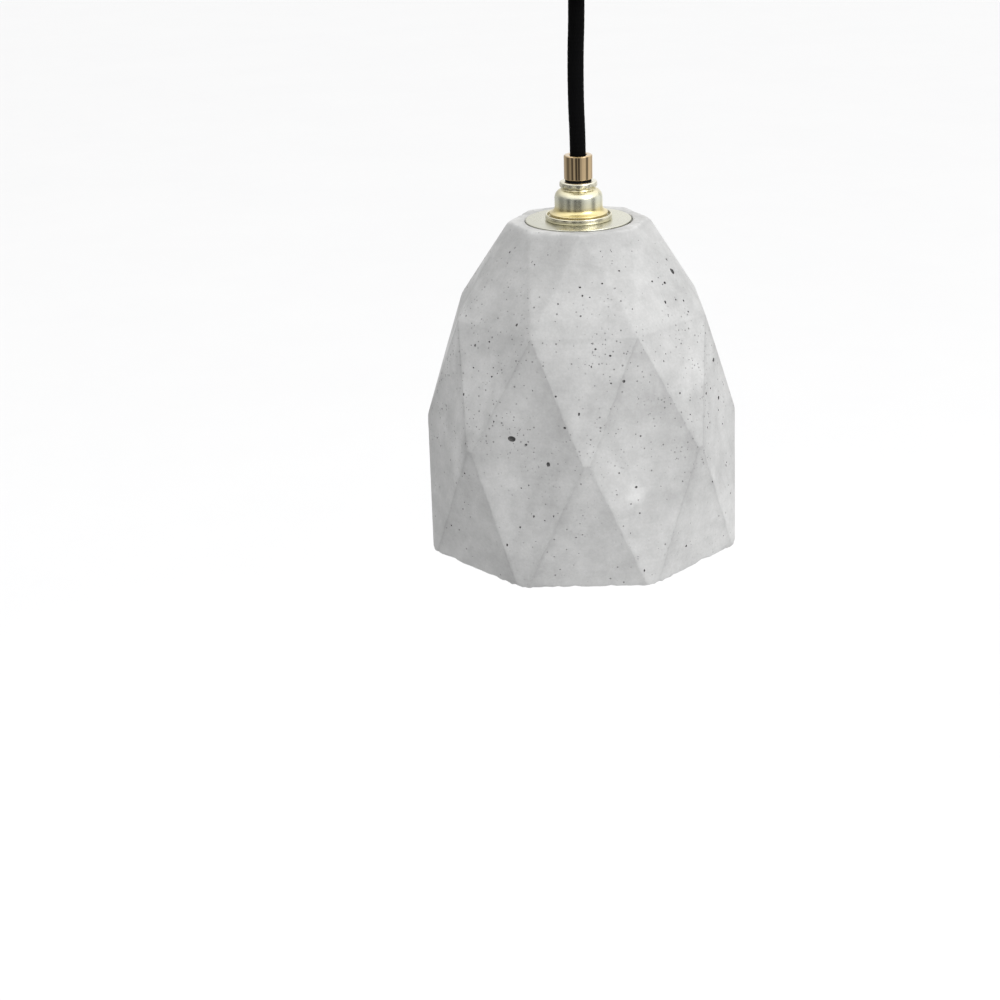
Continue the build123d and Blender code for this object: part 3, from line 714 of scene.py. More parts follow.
@dataclass(frozen=True)
class Concrete:
    """Cast concrete: grey paste, cloudy patches, pale bloom, fine air holes darkened with painted shade, sand
    grain, and the painted shade and highlight that the casting carries per point.
    """

    name: str = "cast_concrete"
    light: Colour = (0.475, 0.475, 0.472)
    dark: Colour = (0.375, 0.375, 0.373)
    bloom: Colour = (0.66, 0.66, 0.657)
    # Colour of painted shade inside the fine air holes.
    hole: Colour = (0.12, 0.12, 0.118)
    roughness: float = 0.86

    def material(self) -> Material:
        """Builds the material.

        Returns:
            The material, with its nodes.
        """
        material, tree, shader, place = new_sheet(self.name)
        cloud = MOTTLE.place(tree, vector=place, scale=26.0).outputs[0]
        drift = MOTTLE.place(tree, vector=place, scale=7.0).outputs[0]
        grain = put(tree, "ShaderNodeTexNoise", {
            "Vector": place, "Scale": 900.0, "Detail": 3.0, "Roughness": 0.7})
        paste = mixed(tree, cloud, four(self.dark), four(self.light))
        paste = mixed(tree, mapped(tree, drift, 0.62, 0.98, 0.0, 0.55), paste, four(self.bloom))
        flat = put(tree, "ShaderNodeVectorMath", {0: place, 1: (1.0, 1.0, 26.0)},
                   operation="MULTIPLY").outputs[0]
        layers = put(tree, "ShaderNodeTexNoise", {"Vector": flat, "Scale": 34.0, "Detail": 3.0}).outputs[0]
        # The casting's per-point attribute carries the pale bloom together with painted shade near facet
        # edges and a painted highlight on the flat top. It shifts the paste's brightness and pales it.
        tone_and_painted_light = put(tree, "ShaderNodeAttribute", attribute_name="tone_and_painted_light",
                   attribute_type="GEOMETRY").outputs["Fac"]
        uneven = maths(tree, "ADD", tone_and_painted_light, mapped(tree, cloud, 0.0, 1.0, -0.12, 0.12))
        shift = mapped(tree, uneven, 0.0, 1.0, 0.80, 1.20)
        fine = put(tree, "ShaderNodeTexNoise", {"Vector": place, "Scale": 170.0, "Detail": 4.0}).outputs[0]
        patch = maths(tree, "MULTIPLY", tone_and_painted_light, maths(tree, "ADD", fine, 0.5))
        patch = mapped(tree, patch, 0.62, 1.0, 0.0, 0.42)
        paste = mixed(tree, patch, paste, four(self.bloom))
        sand = mapped(tree, grain.outputs[0], 0.3, 0.75, 0.93, 1.05)
        sand = maths(tree, "MULTIPLY", sand, mapped(tree, layers, 0.3, 0.7, 0.985, 1.012))
        sand = maths(tree, "MULTIPLY", sand, shift)
        paste = put(tree, "ShaderNodeVectorMath", {0: paste, 1: sand}, operation="MULTIPLY").outputs[0]
        # Painted shade: the fine air holes get a dark colour that stands for the shade inside them, along
        # with a dent in the bump.
        small = PORES.place(tree, vector=place, scale=680.0, size=0.23, share=0.42).outputs[0]
        medium = PORES.place(tree, vector=place, scale=330.0, size=0.12, share=0.36).outputs[0]
        clusters = MOTTLE.place(tree, vector=place, scale=38.0).outputs[0]
        small = maths(tree, "MULTIPLY", small, mapped(tree, clusters, 0.32, 0.58))
        level = put(tree, "ShaderNodeSeparateXYZ", {"Vector": place}).outputs[2]
        rising = mapped(tree, level, RIM_Z + 40 * MM, RIM_Z + 72 * MM, 0.25, 1.0)
        falling = mapped(tree, level, RIM_Z + 104 * MM, RIM_Z + 136 * MM, 1.0, 0.2)
        small = maths(tree, "MULTIPLY", small, maths(tree, "MULTIPLY", rising, falling))
        holes = maths(tree, "MAXIMUM", small, medium)
        colour = mixed(tree, maths(tree, "MULTIPLY", holes, 0.72), paste, four(self.hole))
        level = maths(tree, "SUBTRACT", maths(tree, "MULTIPLY", grain.outputs[0], 0.22), holes)
        bump = put(tree, "ShaderNodeBump", {"Strength": 0.5, "Distance": 0.00035, "Height": level})
        tree.links.new(colour, shader.inputs["Base Color"])
        tree.links.new(mapped(tree, cloud, 0.0, 1.0, self.roughness - 0.05, self.roughness + 0.06),
                       shader.inputs["Roughness"])
        tree.links.new(bump.outputs[0], shader.inputs["Normal"])
        shader.inputs["Specular IOR Level"].default_value = 0.3
        return material


@dataclass(frozen=True)
class ConcretePore:
    """The inside of an air hole in concrete: rough paste darkened with painted shade, for the shade that
    falls in the hole.
    """

    name: str = "concrete_air_hole"
    painted_hole_shade: Colour = (0.075, 0.075, 0.074)
    edge: Colour = (0.19, 0.19, 0.188)

    def material(self) -> Material:
        """Builds the material.

        Returns:
            The material, with its nodes.
        """
        material, tree, shader, place = new_sheet(self.name)
        grain = put(tree, "ShaderNodeTexNoise", {"Vector": place, "Scale": 1500.0, "Detail": 3.0})
        # Painted shade: both colours are dark to stand for the shade inside the hole.
        colour = mixed(tree, grain.outputs[0], four(self.painted_hole_shade), four(self.edge))
        tree.links.new(colour, shader.inputs["Base Color"])
        bump = put(tree, "ShaderNodeBump", {"Strength": 0.5, "Distance": 0.0002, "Height": grain.outputs[0]})
        tree.links.new(bump.outputs[0], shader.inputs["Normal"])
        shader.inputs["Roughness"].default_value = 0.92
        return material


@dataclass(frozen=True)
class Metal:
    """A turned or plated metal with lathe lines, a tint that drifts, and faint handling marks."""

    name: str
    tint: Colour
    second: Colour
    smooth: float = 0.12
    rough: float = 0.26
    lines: float = 3000.0
    line_depth: float = 0.000004
    drift: float = 40.0
    bands: tuple[tuple[float, Colour], ...] = ()

    def material(self) -> Material:
        """Builds the material, tinted by height where it has bands of (height above the rim, colour).

        Returns:
            The material, with its nodes.
        """
        material, tree, shader, place = new_sheet(self.name)
        drift = MOTTLE.place(tree, vector=place, scale=self.drift).outputs[0]
        marks = SMUDGE.place(tree, vector=place, scale=90.0).outputs[0]
        turned = TURNING.place(tree, vector=place, scale=self.lines).outputs[0]
        tint = mixed(tree, drift, four(self.tint), four(self.second))
        if self.bands:
            parts = put(tree, "ShaderNodeSeparateXYZ", {"Vector": place})
            low, high = self.bands[0][0], self.bands[-1][0]
            level = mapped(tree, parts.outputs[2], RIM_Z + low * MM, RIM_Z + high * MM)
            stops = [((height - low) / (high - low), colour) for height, colour in self.bands]
            tint = mixed(tree, mapped(tree, drift, 0.0, 1.0, 0.75, 1.0), tint, ramp(tree, level, stops))
        tree.links.new(tint, shader.inputs["Base Color"])
        tree.links.new(mapped(tree, marks, 0.0, 1.0, self.smooth, self.rough), shader.inputs["Roughness"])
        bump = put(tree, "ShaderNodeBump", {"Strength": 1.0, "Distance": self.line_depth, "Height": turned})
        tree.links.new(bump.outputs[0], shader.inputs["Normal"])
        shader.inputs["Metallic"].default_value = 1.0
        return material


@dataclass(frozen=True)
class Moulded:
    """A moulded plastic, rubber, glass seal or glaze, with a fine skin and a slight drift of colour."""

    name: str
    tint: Colour
    second: Colour
    roughness: float = 0.4
    grain: float = 1800.0
    depth: float = 0.00003
    coat: float = 0.0
    shine: float = 0.5

    def material(self) -> Material:
        """Builds the material.

        Returns:
            The material, with its nodes.
        """
        material, tree, shader, place = new_sheet(self.name)
        drift = MOTTLE.place(tree, vector=place, scale=120.0).outputs[0]
        marks = SMUDGE.place(tree, vector=place, scale=140.0).outputs[0]
        skin = put(tree, "ShaderNodeTexNoise", {"Vector": place, "Scale": self.grain, "Detail": 3.0})
        tree.links.new(mixed(tree, drift, four(self.tint), four(self.second)), shader.inputs["Base Color"])
        tree.links.new(mapped(tree, marks, 0.0, 1.0, self.roughness - 0.05, self.roughness + 0.09),
                       shader.inputs["Roughness"])
        bump = put(tree, "ShaderNodeBump", {
            "Strength": 0.6, "Distance": self.depth, "Height": skin.outputs[0]})
        tree.links.new(bump.outputs[0], shader.inputs["Normal"])
        shader.inputs["Specular IOR Level"].default_value = self.shine
        shader.inputs["Coat Weight"].default_value = self.coat
        shader.inputs["Coat Roughness"].default_value = 0.08
        return material


@dataclass(frozen=True)
class StripedCore:
    """Earth wire insulation: two colours that run along the wire in two stripes."""

    name: str = "green_yellow_pvc"
    green: Colour = (0.055, 0.30, 0.05)
    yellow: Colour = (0.82, 0.68, 0.05)

    def material(self) -> Material:
        """Builds the material.

        Returns:
            The material, with its nodes.
        """
        material, tree, shader, place = new_sheet(self.name)
        parts = put(tree, "ShaderNodeSeparateXYZ", {"Vector": place})
        side = mapped(tree, parts.outputs[0], -0.00005, 0.00005)
        skin = put(tree, "ShaderNodeTexNoise", {"Vector": place, "Scale": 2200.0, "Detail": 2.0})
        tree.links.new(mixed(tree, side, four(self.green), four(self.yellow)), shader.inputs["Base Color"])
        bump = put(tree, "ShaderNodeBump", {"Strength": 0.4, "Distance": 0.00002, "Height": skin.outputs[0]})
        tree.links.new(bump.outputs[0], shader.inputs["Normal"])
        tree.links.new(mapped(tree, skin.outputs[0], 0.0, 1.0, 0.34, 0.44), shader.inputs["Roughness"])
        return material


@dataclass(frozen=True)
class Textile:
    """Braided rayon over the cord: near black yarns with a low sheen and stray fibres."""

    name: str = "black_braid"
    dark: Colour = (0.0006, 0.0006, 0.0007)
    light: Colour = (0.0028, 0.0028, 0.0031)
    yarns: float = 12.0
    pitch: float = 11.0

    def material(self) -> Material:
        """Builds the material, with its pattern on the cord's own map.

        Returns:
            The material, with its nodes.
        """
        material, tree, shader, _ = new_sheet(self.name)
        surface_map = put(tree, "ShaderNodeUVMap", uv_map="UVMap")
        yarn = BRAID.place(tree, vector=surface_map.outputs[0], yarns=self.yarns, pitch=self.pitch)
        tree.links.new(mixed(tree, yarn.outputs["Height"], four(self.dark), four(self.light)),
                       shader.inputs["Base Color"])
        level = maths(tree, "ADD", yarn.outputs["Height"], maths(tree, "MULTIPLY", yarn.outputs["Fuzz"], 0.6))
        bump = put(tree, "ShaderNodeBump", {"Strength": 0.8, "Distance": 0.00006, "Height": level})
        tree.links.new(bump.outputs[0], shader.inputs["Normal"])
        tree.links.new(mapped(tree, yarn.outputs["Fuzz"], 0.2, 0.8, 0.55, 0.8), shader.inputs["Roughness"])
        shader.inputs["Specular IOR Level"].default_value = 0.035
        return material


@dataclass(frozen=True)
class Glass:
    """Clear glass with slight waves and faint handling marks."""

    name: str = "blown_glass"
    tint: Colour = (0.985, 0.99, 0.99)

    def material(self) -> Material:
        """Builds the material.

        Returns:
            The material, with its nodes.
        """
        material, tree, shader, place = new_sheet(self.name)
        marks = SMUDGE.place(tree, vector=place, scale=70.0).outputs[0]
        waves = put(tree, "ShaderNodeTexNoise", {"Vector": place, "Scale": 60.0, "Detail": 1.0})
        tree.links.new(mapped(tree, marks, 0.0, 1.0, 0.0, 0.035), shader.inputs["Roughness"])
        bump = put(tree, "ShaderNodeBump", {"Strength": 0.4, "Distance": 0.00008, "Height": waves.outputs[0]})
        tree.links.new(bump.outputs[0], shader.inputs["Normal"])
        shader.inputs["Base Color"].default_value = four(self.tint)
        shader.inputs["Metallic"].default_value = 0.0
        shader.inputs["Transmission Weight"].default_value = 1.0
        shader.inputs["IOR"].default_value = 1.47
        return material


class Finish(Enum):
    """Every finish of the lamp."""

    CONCRETE = Concrete()
    PORE = ConcretePore()
    PALE_GOLD = Metal("pale_gold_plate", (0.76, 0.71, 0.52), (0.70, 0.67, 0.54), 0.13, 0.24, 2600.0, 0.000002)
    CAP_GOLD = Metal("pale_gold_cap", (0.80, 0.76, 0.56), (0.74, 0.73, 0.60), 0.22, 0.35, 2600.0, 0.000002,
                     40.0, (
        (149.5, (0.72, 0.61, 0.33)), (152.4, (0.72, 0.60, 0.28)), (154.0, (0.76, 0.72, 0.52)),
        (157.4, (0.75, 0.76, 0.66)), (159.4, (0.70, 0.66, 0.48)), (161.0, (0.64, 0.57, 0.35)),
        (162.0, (0.62, 0.59, 0.46)), (164.0, (0.72, 0.70, 0.60))))
    PLATE = Metal("turned_plate", (0.62, 0.61, 0.50), (0.58, 0.575, 0.505), 0.24, 0.34, 1900.0, 0.000006,
                  22.0)
    BRONZE = Metal("polished_bronze", (0.59, 0.44, 0.26), (0.52, 0.39, 0.235), 0.03, 0.08, 4200.0, 0.000001)
    BRASS = Metal("bright_brass", (0.80, 0.60, 0.28), (0.70, 0.50, 0.22), 0.18, 0.34)
    ZINC = Metal("zinc_plate", (0.62, 0.63, 0.65), (0.54, 0.55, 0.58), 0.28, 0.46, 900.0, 0.00001, 70.0)
    NICKEL = Metal("bright_nickel", (0.76, 0.74, 0.70), (0.68, 0.66, 0.62), 0.14, 0.28)
    # Partly the insert's own black and partly painted shade: this nylon is darker than plain black nylon, for
    # the shade in the gap under the grip nut.
    NYLON = Moulded("moulded_nylon", (0.004, 0.004, 0.0042), (0.008, 0.008, 0.0083), 0.6, shine=0.04)
    RUBBER = Moulded("moulded_rubber", (0.016, 0.016, 0.016), (0.026, 0.026, 0.025), 0.7, 900.0, 0.00006)
    PORCELAIN = Moulded("glazed_porcelain", (0.80, 0.78, 0.72), (0.74, 0.72, 0.66), 0.22, 500.0, 0.00005, 0.5)
    VITRITE = Moulded("black_glass_seal", (0.012, 0.012, 0.016), (0.02, 0.02, 0.026), 0.16, 700.0, 0.00004,
                      0.6)
    PHOSPHOR = Moulded("coated_filament", (0.84, 0.55, 0.12), (0.78, 0.47, 0.09), 0.55, 2600.0, 0.00005)
    POLYAMIDE = Moulded("milky_polyamide", (0.78, 0.77, 0.72), (0.72, 0.71, 0.66), 0.45)
    BROWN_CORE = Moulded("brown_insulation", (0.13, 0.055, 0.025), (0.10, 0.042, 0.02), 0.4)
    BLUE_CORE = Moulded("blue_insulation", (0.02, 0.10, 0.42), (0.018, 0.085, 0.36), 0.4)
    EARTH_CORE = StripedCore()
    BRAID = Textile()
    GLASS = Glass()

    @functools.cache
    def material(self) -> Material:
        """The finish's material, made at its first use."""
        return self.value.material()


# ------------------------------------------------------------------ concrete shade
@dataclass
class ConcreteShade:
    """The faceted cast shade: heights above its rim and radii, in millimetres."""

    sides: int = 8
    height: float = 147.0
    rim_tip_radius: float = 75.0
    rim_edge_radius: float = 70.1
    belly_radius: float = 71.55
    belly_height: float = 57.0
    shoulder_radius: float = 58.9
    shoulder_height: float = 108.75
    crown_radius: float = 31.3
    web_bottom: float = 137.0
    hole_radius: float = 14.6
    recess_radius: float = 24.0
    recess_floor: float = 145.8
    softness: float = 0.2
    facet_columns: int = 30
    facet_rows: tuple[int, int, int] = (40, 37, 33)
    pores: int = 430
    large_pores: int = 64
    bloom_azimuth: float = -72.0
    bloom_height: float = 42.5
    seed: int = 11

    def facet_lines(self) -> list[tuple[float, tuple[float, float], tuple[float, float]]]:
        """Each facet family as its first azimuth and two (radius, height) points of its plane.

        Returns:
            (azimuth, lower point, upper point) for each family.
        """
        half = math.cos(math.pi / self.sides)
        belly = (self.belly_radius, self.belly_height)
        tip = (self.shoulder_radius, self.shoulder_height)
        tip_edge = (self.shoulder_radius * half, self.shoulder_height)
        crown_edge = (self.crown_radius * half, self.height)
        return [
            (0.0, (self.rim_edge_radius, 0.0), belly),
            (0.0, belly, tip_edge),
            (0.0, tip_edge, (self.crown_radius, self.height)),
            (EIGHTH / 2, (self.rim_tip_radius, 0.0), tip),
            (EIGHTH / 2, tip, crown_edge),
        ]

    def skin_radius(self, azimuth: Array, height: Array) -> Array:
        """Radius of the outer skin, with softened edges.

        Each facet's plane is reach(height) / cos(azimuth - its own). The skin is their soft minimum,
        -s log(sum(exp(-radius / s))), which rounds every edge by about the softness s.

        Args:
            azimuth: angles in radians.
            height: heights above the rim, in millimetres.

        Returns:
            Radii in millimetres.
        """
        reaches = []
        for offset, lower, upper in self.facet_lines():
            reach = lower[0] + (upper[0] - lower[0]) * (height - lower[1]) / (upper[1] - lower[1])
            off = (azimuth - offset + EIGHTH / 2) % EIGHTH - EIGHTH / 2
            reaches += [reach / np.cos(off + turn) for turn in (-EIGHTH, 0.0, EIGHTH)]
        reaches = np.array(reaches)
        least = reaches.min(axis=0)
        return least - self.softness * np.log(np.exp(-(reaches - least) / self.softness).sum(axis=0))

    def half_width(self, corner_reach: float, between_reach: float) -> float:
        """Angle from a corner facet's middle to the edge where the facet beside it starts.

        Args:
            corner_reach: reach of the corner facet's plane, in millimetres.
            between_reach: reach of the plane between, in millimetres.

        Returns:
            The angle in radians.
        """
        eighth = EIGHTH / 2
        return math.atan((between_reach / corner_reach - math.cos(eighth)) / math.sin(eighth))

    def level_loop(self, half: float, radius: float) -> Array:
        """Corner facets span -half to half about each eighth turn, and the facets between fill the rest.

        Args:
            half: half the corner facet's angle at this level.
            radius: radius at its two ends, in millimetres.

        Returns:
            (columns, 2) points round the lamp, crowded towards the facets' edges.
        """
        share = crowded(np.arange(self.facet_columns) / self.facet_columns)[None, :, None]
        middle = np.arange(self.sides) * EIGHTH
        left = radius * np.stack([np.cos(middle - half), np.sin(middle - half)], axis=-1)[:, None]
        right = radius * np.stack([np.cos(middle + half), np.sin(middle + half)], axis=-1)[:, None]
        following = np.roll(left, -1, axis=0)
        corner_facet = left + (right - left) * share
        between = right + (following - right) * share
        return np.concatenate([corner_facet, between], axis=1).reshape(-1, 2)

    def outer_rows(self) -> tuple[Array, Array]:
        """The outer skin as rows of (x, y) and heights, from the rim to the crown.

        Four levels of facet corners, rim, belly, shoulder and crown, are joined by straight lines, so
        that every facet's edge is a line of the grid.

        Returns:
            (rows, columns, 2) places and (rows,) heights, in millimetres.
        """
        slope = (self.rim_tip_radius - self.shoulder_radius) / self.shoulder_height
        rim_half = self.half_width(self.rim_edge_radius, self.rim_tip_radius)
        belly_between = self.rim_tip_radius - slope * self.belly_height
        belly_half = self.half_width(self.belly_radius, belly_between)
        loops = [
            self.level_loop(rim_half, self.rim_edge_radius / math.cos(rim_half)),
            self.level_loop(belly_half, self.belly_radius / math.cos(belly_half)),
            self.level_loop(EIGHTH / 2, self.shoulder_radius),
            self.level_loop(0.0, self.crown_radius),
        ]
        heights = [0.0, self.belly_height, self.shoulder_height, self.height]
        rows, levels = [], []
        for band, count in enumerate(self.facet_rows):
            share = crowded(np.arange(count + (band == 2)) / count)
            rows.append(loops[band] + (loops[band + 1] - loops[band]) * share[:, None, None])
            levels.append(heights[band] + (heights[band + 1] - heights[band]) * share)
        return np.concatenate(rows), np.concatenate(levels)

    def even_angles(self) -> Array:
        """Angles of the columns when they stand evenly round the axis.

        Returns:
            One angle in radians for each column.
        """
        count = 2 * self.facet_columns * self.sides
        return np.arange(count) * TURN / count - EIGHTH / 4

    def outer_skin(self) -> Array:
        """Softened, slightly uneven skin with a crumbled rim and crown edge.

        Inward wear is the sum of a broad wave, and of notches near both edges where a fine random field
        passes a threshold.

        Returns:
            (rows, columns, 3) points in millimetres.
        """
        places, levels = self.outer_rows()
        height = np.repeat(levels[:, None], places.shape[1], axis=1)
        azimuth = np.arctan2(places[..., 1], places[..., 0])
        radius = self.skin_radius(azimuth, height)
        spots = np.stack([radius * np.cos(azimuth), radius * np.sin(azimuth), height], axis=-1).reshape(-1, 3)
        broad = value_noise(spots, 21.0, self.seed).reshape(height.shape)
        notch = value_noise(spots, 2.6, self.seed + 1).reshape(height.shape)
        crumb = value_noise(spots, 1.1, self.seed + 2).reshape(height.shape)
        chip = value_noise(spots, 6.5, self.seed + 3).reshape(height.shape)
        near_rim = np.exp(-(height / 0.9) ** 2)
        near_crown = np.exp(-((self.height - height) / 0.8) ** 2)
        rough = 0.30 * crumb + 0.9 * np.clip(notch - 0.52, 0, 1) + 2.2 * np.clip(chip - 0.72, 0, 1)
        radius = radius - 0.14 * broad - (0.12 + 1.0 * rough) * near_rim - (0.15 + 0.9 * rough) * near_crown
        height = height + (0.04 + 1.1 * rough) * near_rim - (0.12 + 0.7 * rough) * near_crown
        return np.stack([radius * np.cos(azimuth), radius * np.sin(azimuth), height], axis=-1)

    def turned_rows(self, profile: Array, outer: Array, flat_from: float, even: Array) -> Array:
        """Rows inside an outer loop: the first keep the loop's angles, and later ones stand evenly.

        Args:
            profile: (share of the way from the loop to the first circle, radius, height) for each row.
            outer: the loop's points, (columns, 3) in millimetres.
            flat_from: radius of the first circle.
            even: share of evenness of each row, from 0 to 1.

        Returns:
            (rows, columns, 3) points in millimetres.
        """
        loop_angle = np.unwrap(np.arctan2(outer[:, 1], outer[:, 0]))
        target = self.even_angles()
        target = target + TURN * np.round((loop_angle[0] - target[0]) / TURN)
        angle = loop_angle + (target - loop_angle) * even[:, None]
        loop_radius = np.hypot(outer[:, 0], outer[:, 1])
        way = profile[:, :1]
        radius = np.where(way < 1, loop_radius + (flat_from - loop_radius) * way, profile[:, 1:2])
        height = np.repeat(profile[:, 2:], angle.shape[1], axis=1)
        return np.stack([radius * np.cos(angle), radius * np.sin(angle), height], axis=-1)

    def surface(self) -> Surface:
        """The whole closed casting: outer skin, top, recess, hole, cavity and rim, as one wrapped grid.

        Returns:
            The closed surface, in metres.
        """
        skin = self.outer_skin()
        top, bottom = self.height, 0.0
        crown_rows = np.array([
            [0.06, 0.0, top], [0.45, 0.0, top], [0.93, 0.0, top],
            [1.0, self.recess_radius + 0.12, top - 0.08], [1.0, self.recess_radius, top - 0.3],
            [1.0, self.recess_radius, self.recess_floor], [1.0, self.hole_radius + 0.4, self.recess_floor],
            [1.0, self.hole_radius, self.recess_floor - 0.4], [1.0, self.hole_radius, self.web_bottom + 0.4],
            [1.0, self.hole_radius + 0.4, self.web_bottom],
        ])
        crown_even = np.array([0.05, 0.35, 0.8, 1, 1, 1, 1, 1, 1, 1.0])
        dome = arc_through((27.0, 131.0), (50.5, 100.0), (58.5, 57.0), 16)
        corner = arc_through((20.5, self.web_bottom), (24.5, 135.5), (27.0, 131.0), 6)
        wall = np.stack([np.linspace(58.5, 62.0, 9)[1:-1], np.linspace(57.0, 0.0, 9)[1:-1]], axis=-1)
        cavity = np.vstack([corner[:-1], dome, wall, [[61.95, 1.0], [62.15, 0.3], [62.6, 0.0]]])
        cavity_rows = np.hstack([np.ones((len(cavity), 1)), cavity])
        rim_rows = np.array([[0.72, 0.0, bottom], [0.4, 0.0, bottom], [0.12, 0.0, bottom + 0.05]])
        upper = self.turned_rows(crown_rows, skin[-1], self.recess_radius + 0.3, crown_even)
        inner = self.turned_rows(cavity_rows, skin[0], 62.6, np.ones(len(cavity)))
        rim = self.turned_rows(rim_rows, skin[0], 62.6, np.array([0.85, 0.45, 0.1]))
        inside = np.concatenate([inner, rim])
        flat = inside.reshape(-1, 3)
        waves = value_noise(flat, 9.0, self.seed + 5).reshape(inside.shape[:2])
        out = inside[..., :2] / np.linalg.norm(inside[..., :2], axis=-1, keepdims=True)
        depth = np.where(inside[..., 2] > 1.5, 0.25 * waves, 0.0)
        inside[..., :2] += out * depth[..., None]
        crumbs = value_noise(flat, 1.4, self.seed + 6).reshape(inside.shape[:2])
        inside[..., 2] += np.where(inside[..., 2] < 0.9, 0.35 * crumbs, 0.0)
        lumps = value_noise(upper.reshape(-1, 3), 2.0, self.seed + 7).reshape(upper.shape[:2])
        upper[:4, :, 2] -= 0.22 * lumps[:4]
        points = np.concatenate([skin, upper, inside]) * MM
        points[..., 2] += RIM_Z
        return grid(points, wrap_rows=True, wrap_columns=True)

    def pore_list(self) -> Array:
        """Air holes as (azimuth in radians, height, radius, depth share), strewn at random.

        Small ones have radius 0.22 + 0.34 d^2, where d is drawn from a power law. Larger ones have radius
        0.42 + e, up to 1.6, where e is exponential with a mean of 0.22.

        Returns:
            (count, 4) numbers; lengths in millimetres.
        """
        draw = np.random.default_rng(self.seed + 1)
        large = np.stack([
            draw.uniform(0, TURN, self.large_pores),
            4 + (self.height - 9) * draw.beta(1.7, 1.35, self.large_pores),
            np.minimum(0.42 + draw.exponential(0.22, self.large_pores), 1.6),
        ], axis=-1)
        draw = np.random.default_rng(self.seed)
        azimuth = draw.uniform(0, TURN, self.pores)
        height = 4 + (self.height - 9) * draw.beta(1.7, 1.35, self.pores)
        radius = 0.22 + 0.34 * draw.power(0.6, self.pores) ** 2
        strewn = np.stack([azimuth, height, radius], axis=-1)
        both = np.vstack([large, strewn])
        skin = self.skin_radius(both[:, 0], both[:, 1])
        centre = np.stack([skin * np.cos(both[:, 0]), skin * np.sin(both[:, 0]), both[:, 1]], axis=-1)
        apart = np.linalg.norm(centre[:, None] - centre[None], axis=-1)
        touching = np.tril(apart < (both[:, 2][:, None] + both[:, 2][None]) * 1.25 + 0.15, -1).any(axis=1)
        both = both[~touching]
        return np.hstack([both, draw.uniform(0.12, 0.38, (len(both), 1))])

    def pore_shapes(self) -> Surface:
        """Uneven balls sunk in the skin, one for each air hole, each of a few dozen faces.

        A point of ball n is centre + r w (s sin p cos q, s sin p sin q, t cos p), for 5 steps of p and 9
        of q, where w = 1 + 0.12 sin p sin(3q + n), s = 1 + 0.22 sin 2.4n and t = 1 - 0.22 sin 2.4n.

        Returns:
            The balls as one surface, in metres.
        """
        holes = self.pore_list()
        polar = np.linspace(0, math.pi, 6)[:, None]
        around = np.linspace(0, TURN, 10)[None, :-1]
        unit = np.stack(np.broadcast_arrays(np.sin(polar) * np.cos(around), np.sin(polar) * np.sin(around),
                                            np.cos(polar)), axis=-1)
        azimuth, height, radius, sunk = holes.T
        depth = self.skin_radius(azimuth, height) - 0.07 - radius * sunk
        centre = np.stack([depth * np.cos(azimuth), depth * np.sin(azimuth), height], axis=-1)
        stretch = 1 + 0.22 * np.sin(np.arange(len(holes)) * 2.4)[:, None] * np.array([[1.0, 1.0, -1.0]])
        wave = 1 + 0.12 * np.sin(polar) * np.sin(3 * around + np.arange(len(holes))[:, None, None])
        swollen = radius[:, None, None, None] * wave[..., None] * unit * stretch[:, None, None]
        balls = (centre[:, None, None] + swollen) * MM
        balls[..., 2] += RIM_Z
        return joined([grid(ball, wrap_columns=True) for ball in balls])

    def tone_and_painted_light(self, points: Array) -> Array:
        """How pale the paste is at each point, from 0 to 1, where 0.5 is plain, with painted shade and a
        painted highlight added.

        Painted shade: a facet of the lower two rows darkens towards an edge above which a facet that leans
        more starts, by exp(-gap / 2.6), where gap is the distance in radius between the two planes. Edges
        carry a thin darker line of painted shade, exp(-(gap / 0.42)^2). A pale bloom stands on one facet, and
        fades by exp(-(distance / 6)^2), and the flat top is as pale, a painted highlight of the light from
        above.

        Args:
            points: (count, 3) places in metres.

        Returns:
            The paste's paleness, with the painted shade and the painted highlight, at each point.
        """
        azimuth = np.arctan2(points[:, 1], points[:, 0])
        height = (points[:, 2] - RIM_Z) / MM
        reaches, leans = [], []
        for offset, lower, upper in self.facet_lines():
            slope = (lower[0] - upper[0]) / (upper[1] - lower[1])
            off = (azimuth - offset + EIGHTH / 2) % EIGHTH - EIGHTH / 2
            for turn in (-EIGHTH, 0.0, EIGHTH):
                reaches.append((lower[0] - slope * (height - lower[1])) / np.cos(off + turn))
                leans.append(slope)
        reaches, leans = np.array(reaches), np.array(leans)
        own = reaches.argmin(axis=0)
        gap = reaches - reaches.min(axis=0)
        gap[leans[:, None] <= leans[own][None, :] + 0.02] = 99.0
        # Painted shade: the lower facets darken below an edge where the facet above leans in more.
        share = np.where(leans[own] < 0.2, 0.30, 0.0)
        shadow = share * np.exp(-gap.min(axis=0) / 2.6)
        # Painted shade: a thin darker line along every edge between facets.
        beside = np.sort(reaches, axis=0)[1] - reaches.min(axis=0)
        line = 0.12 * np.exp(-(beside / 0.42) ** 2) * (leans[own] < 0.5)
        bloom_at = math.radians(self.bloom_azimuth)
        radius = self.skin_radius(np.array([bloom_at]), np.array([self.bloom_height]))[0]
        middle = np.array([radius * math.cos(bloom_at), radius * math.sin(bloom_at), self.bloom_height])
        place = points / MM - np.array([0, 0, RIM_Z / MM])
        bloom = np.exp(-(np.linalg.norm((place - middle) * [1.0, 1.0, 0.8], axis=1) / 6.0) ** 2)
        # Painted highlight: the flat top is made paler, as if lit from above.
        painted_top_light = np.clip((height - self.recess_floor) / 0.9, 0, 1)
        return np.clip(0.5 - shadow - line + np.maximum(0.34 * bloom, 0.24 * painted_top_light), 0, 1)

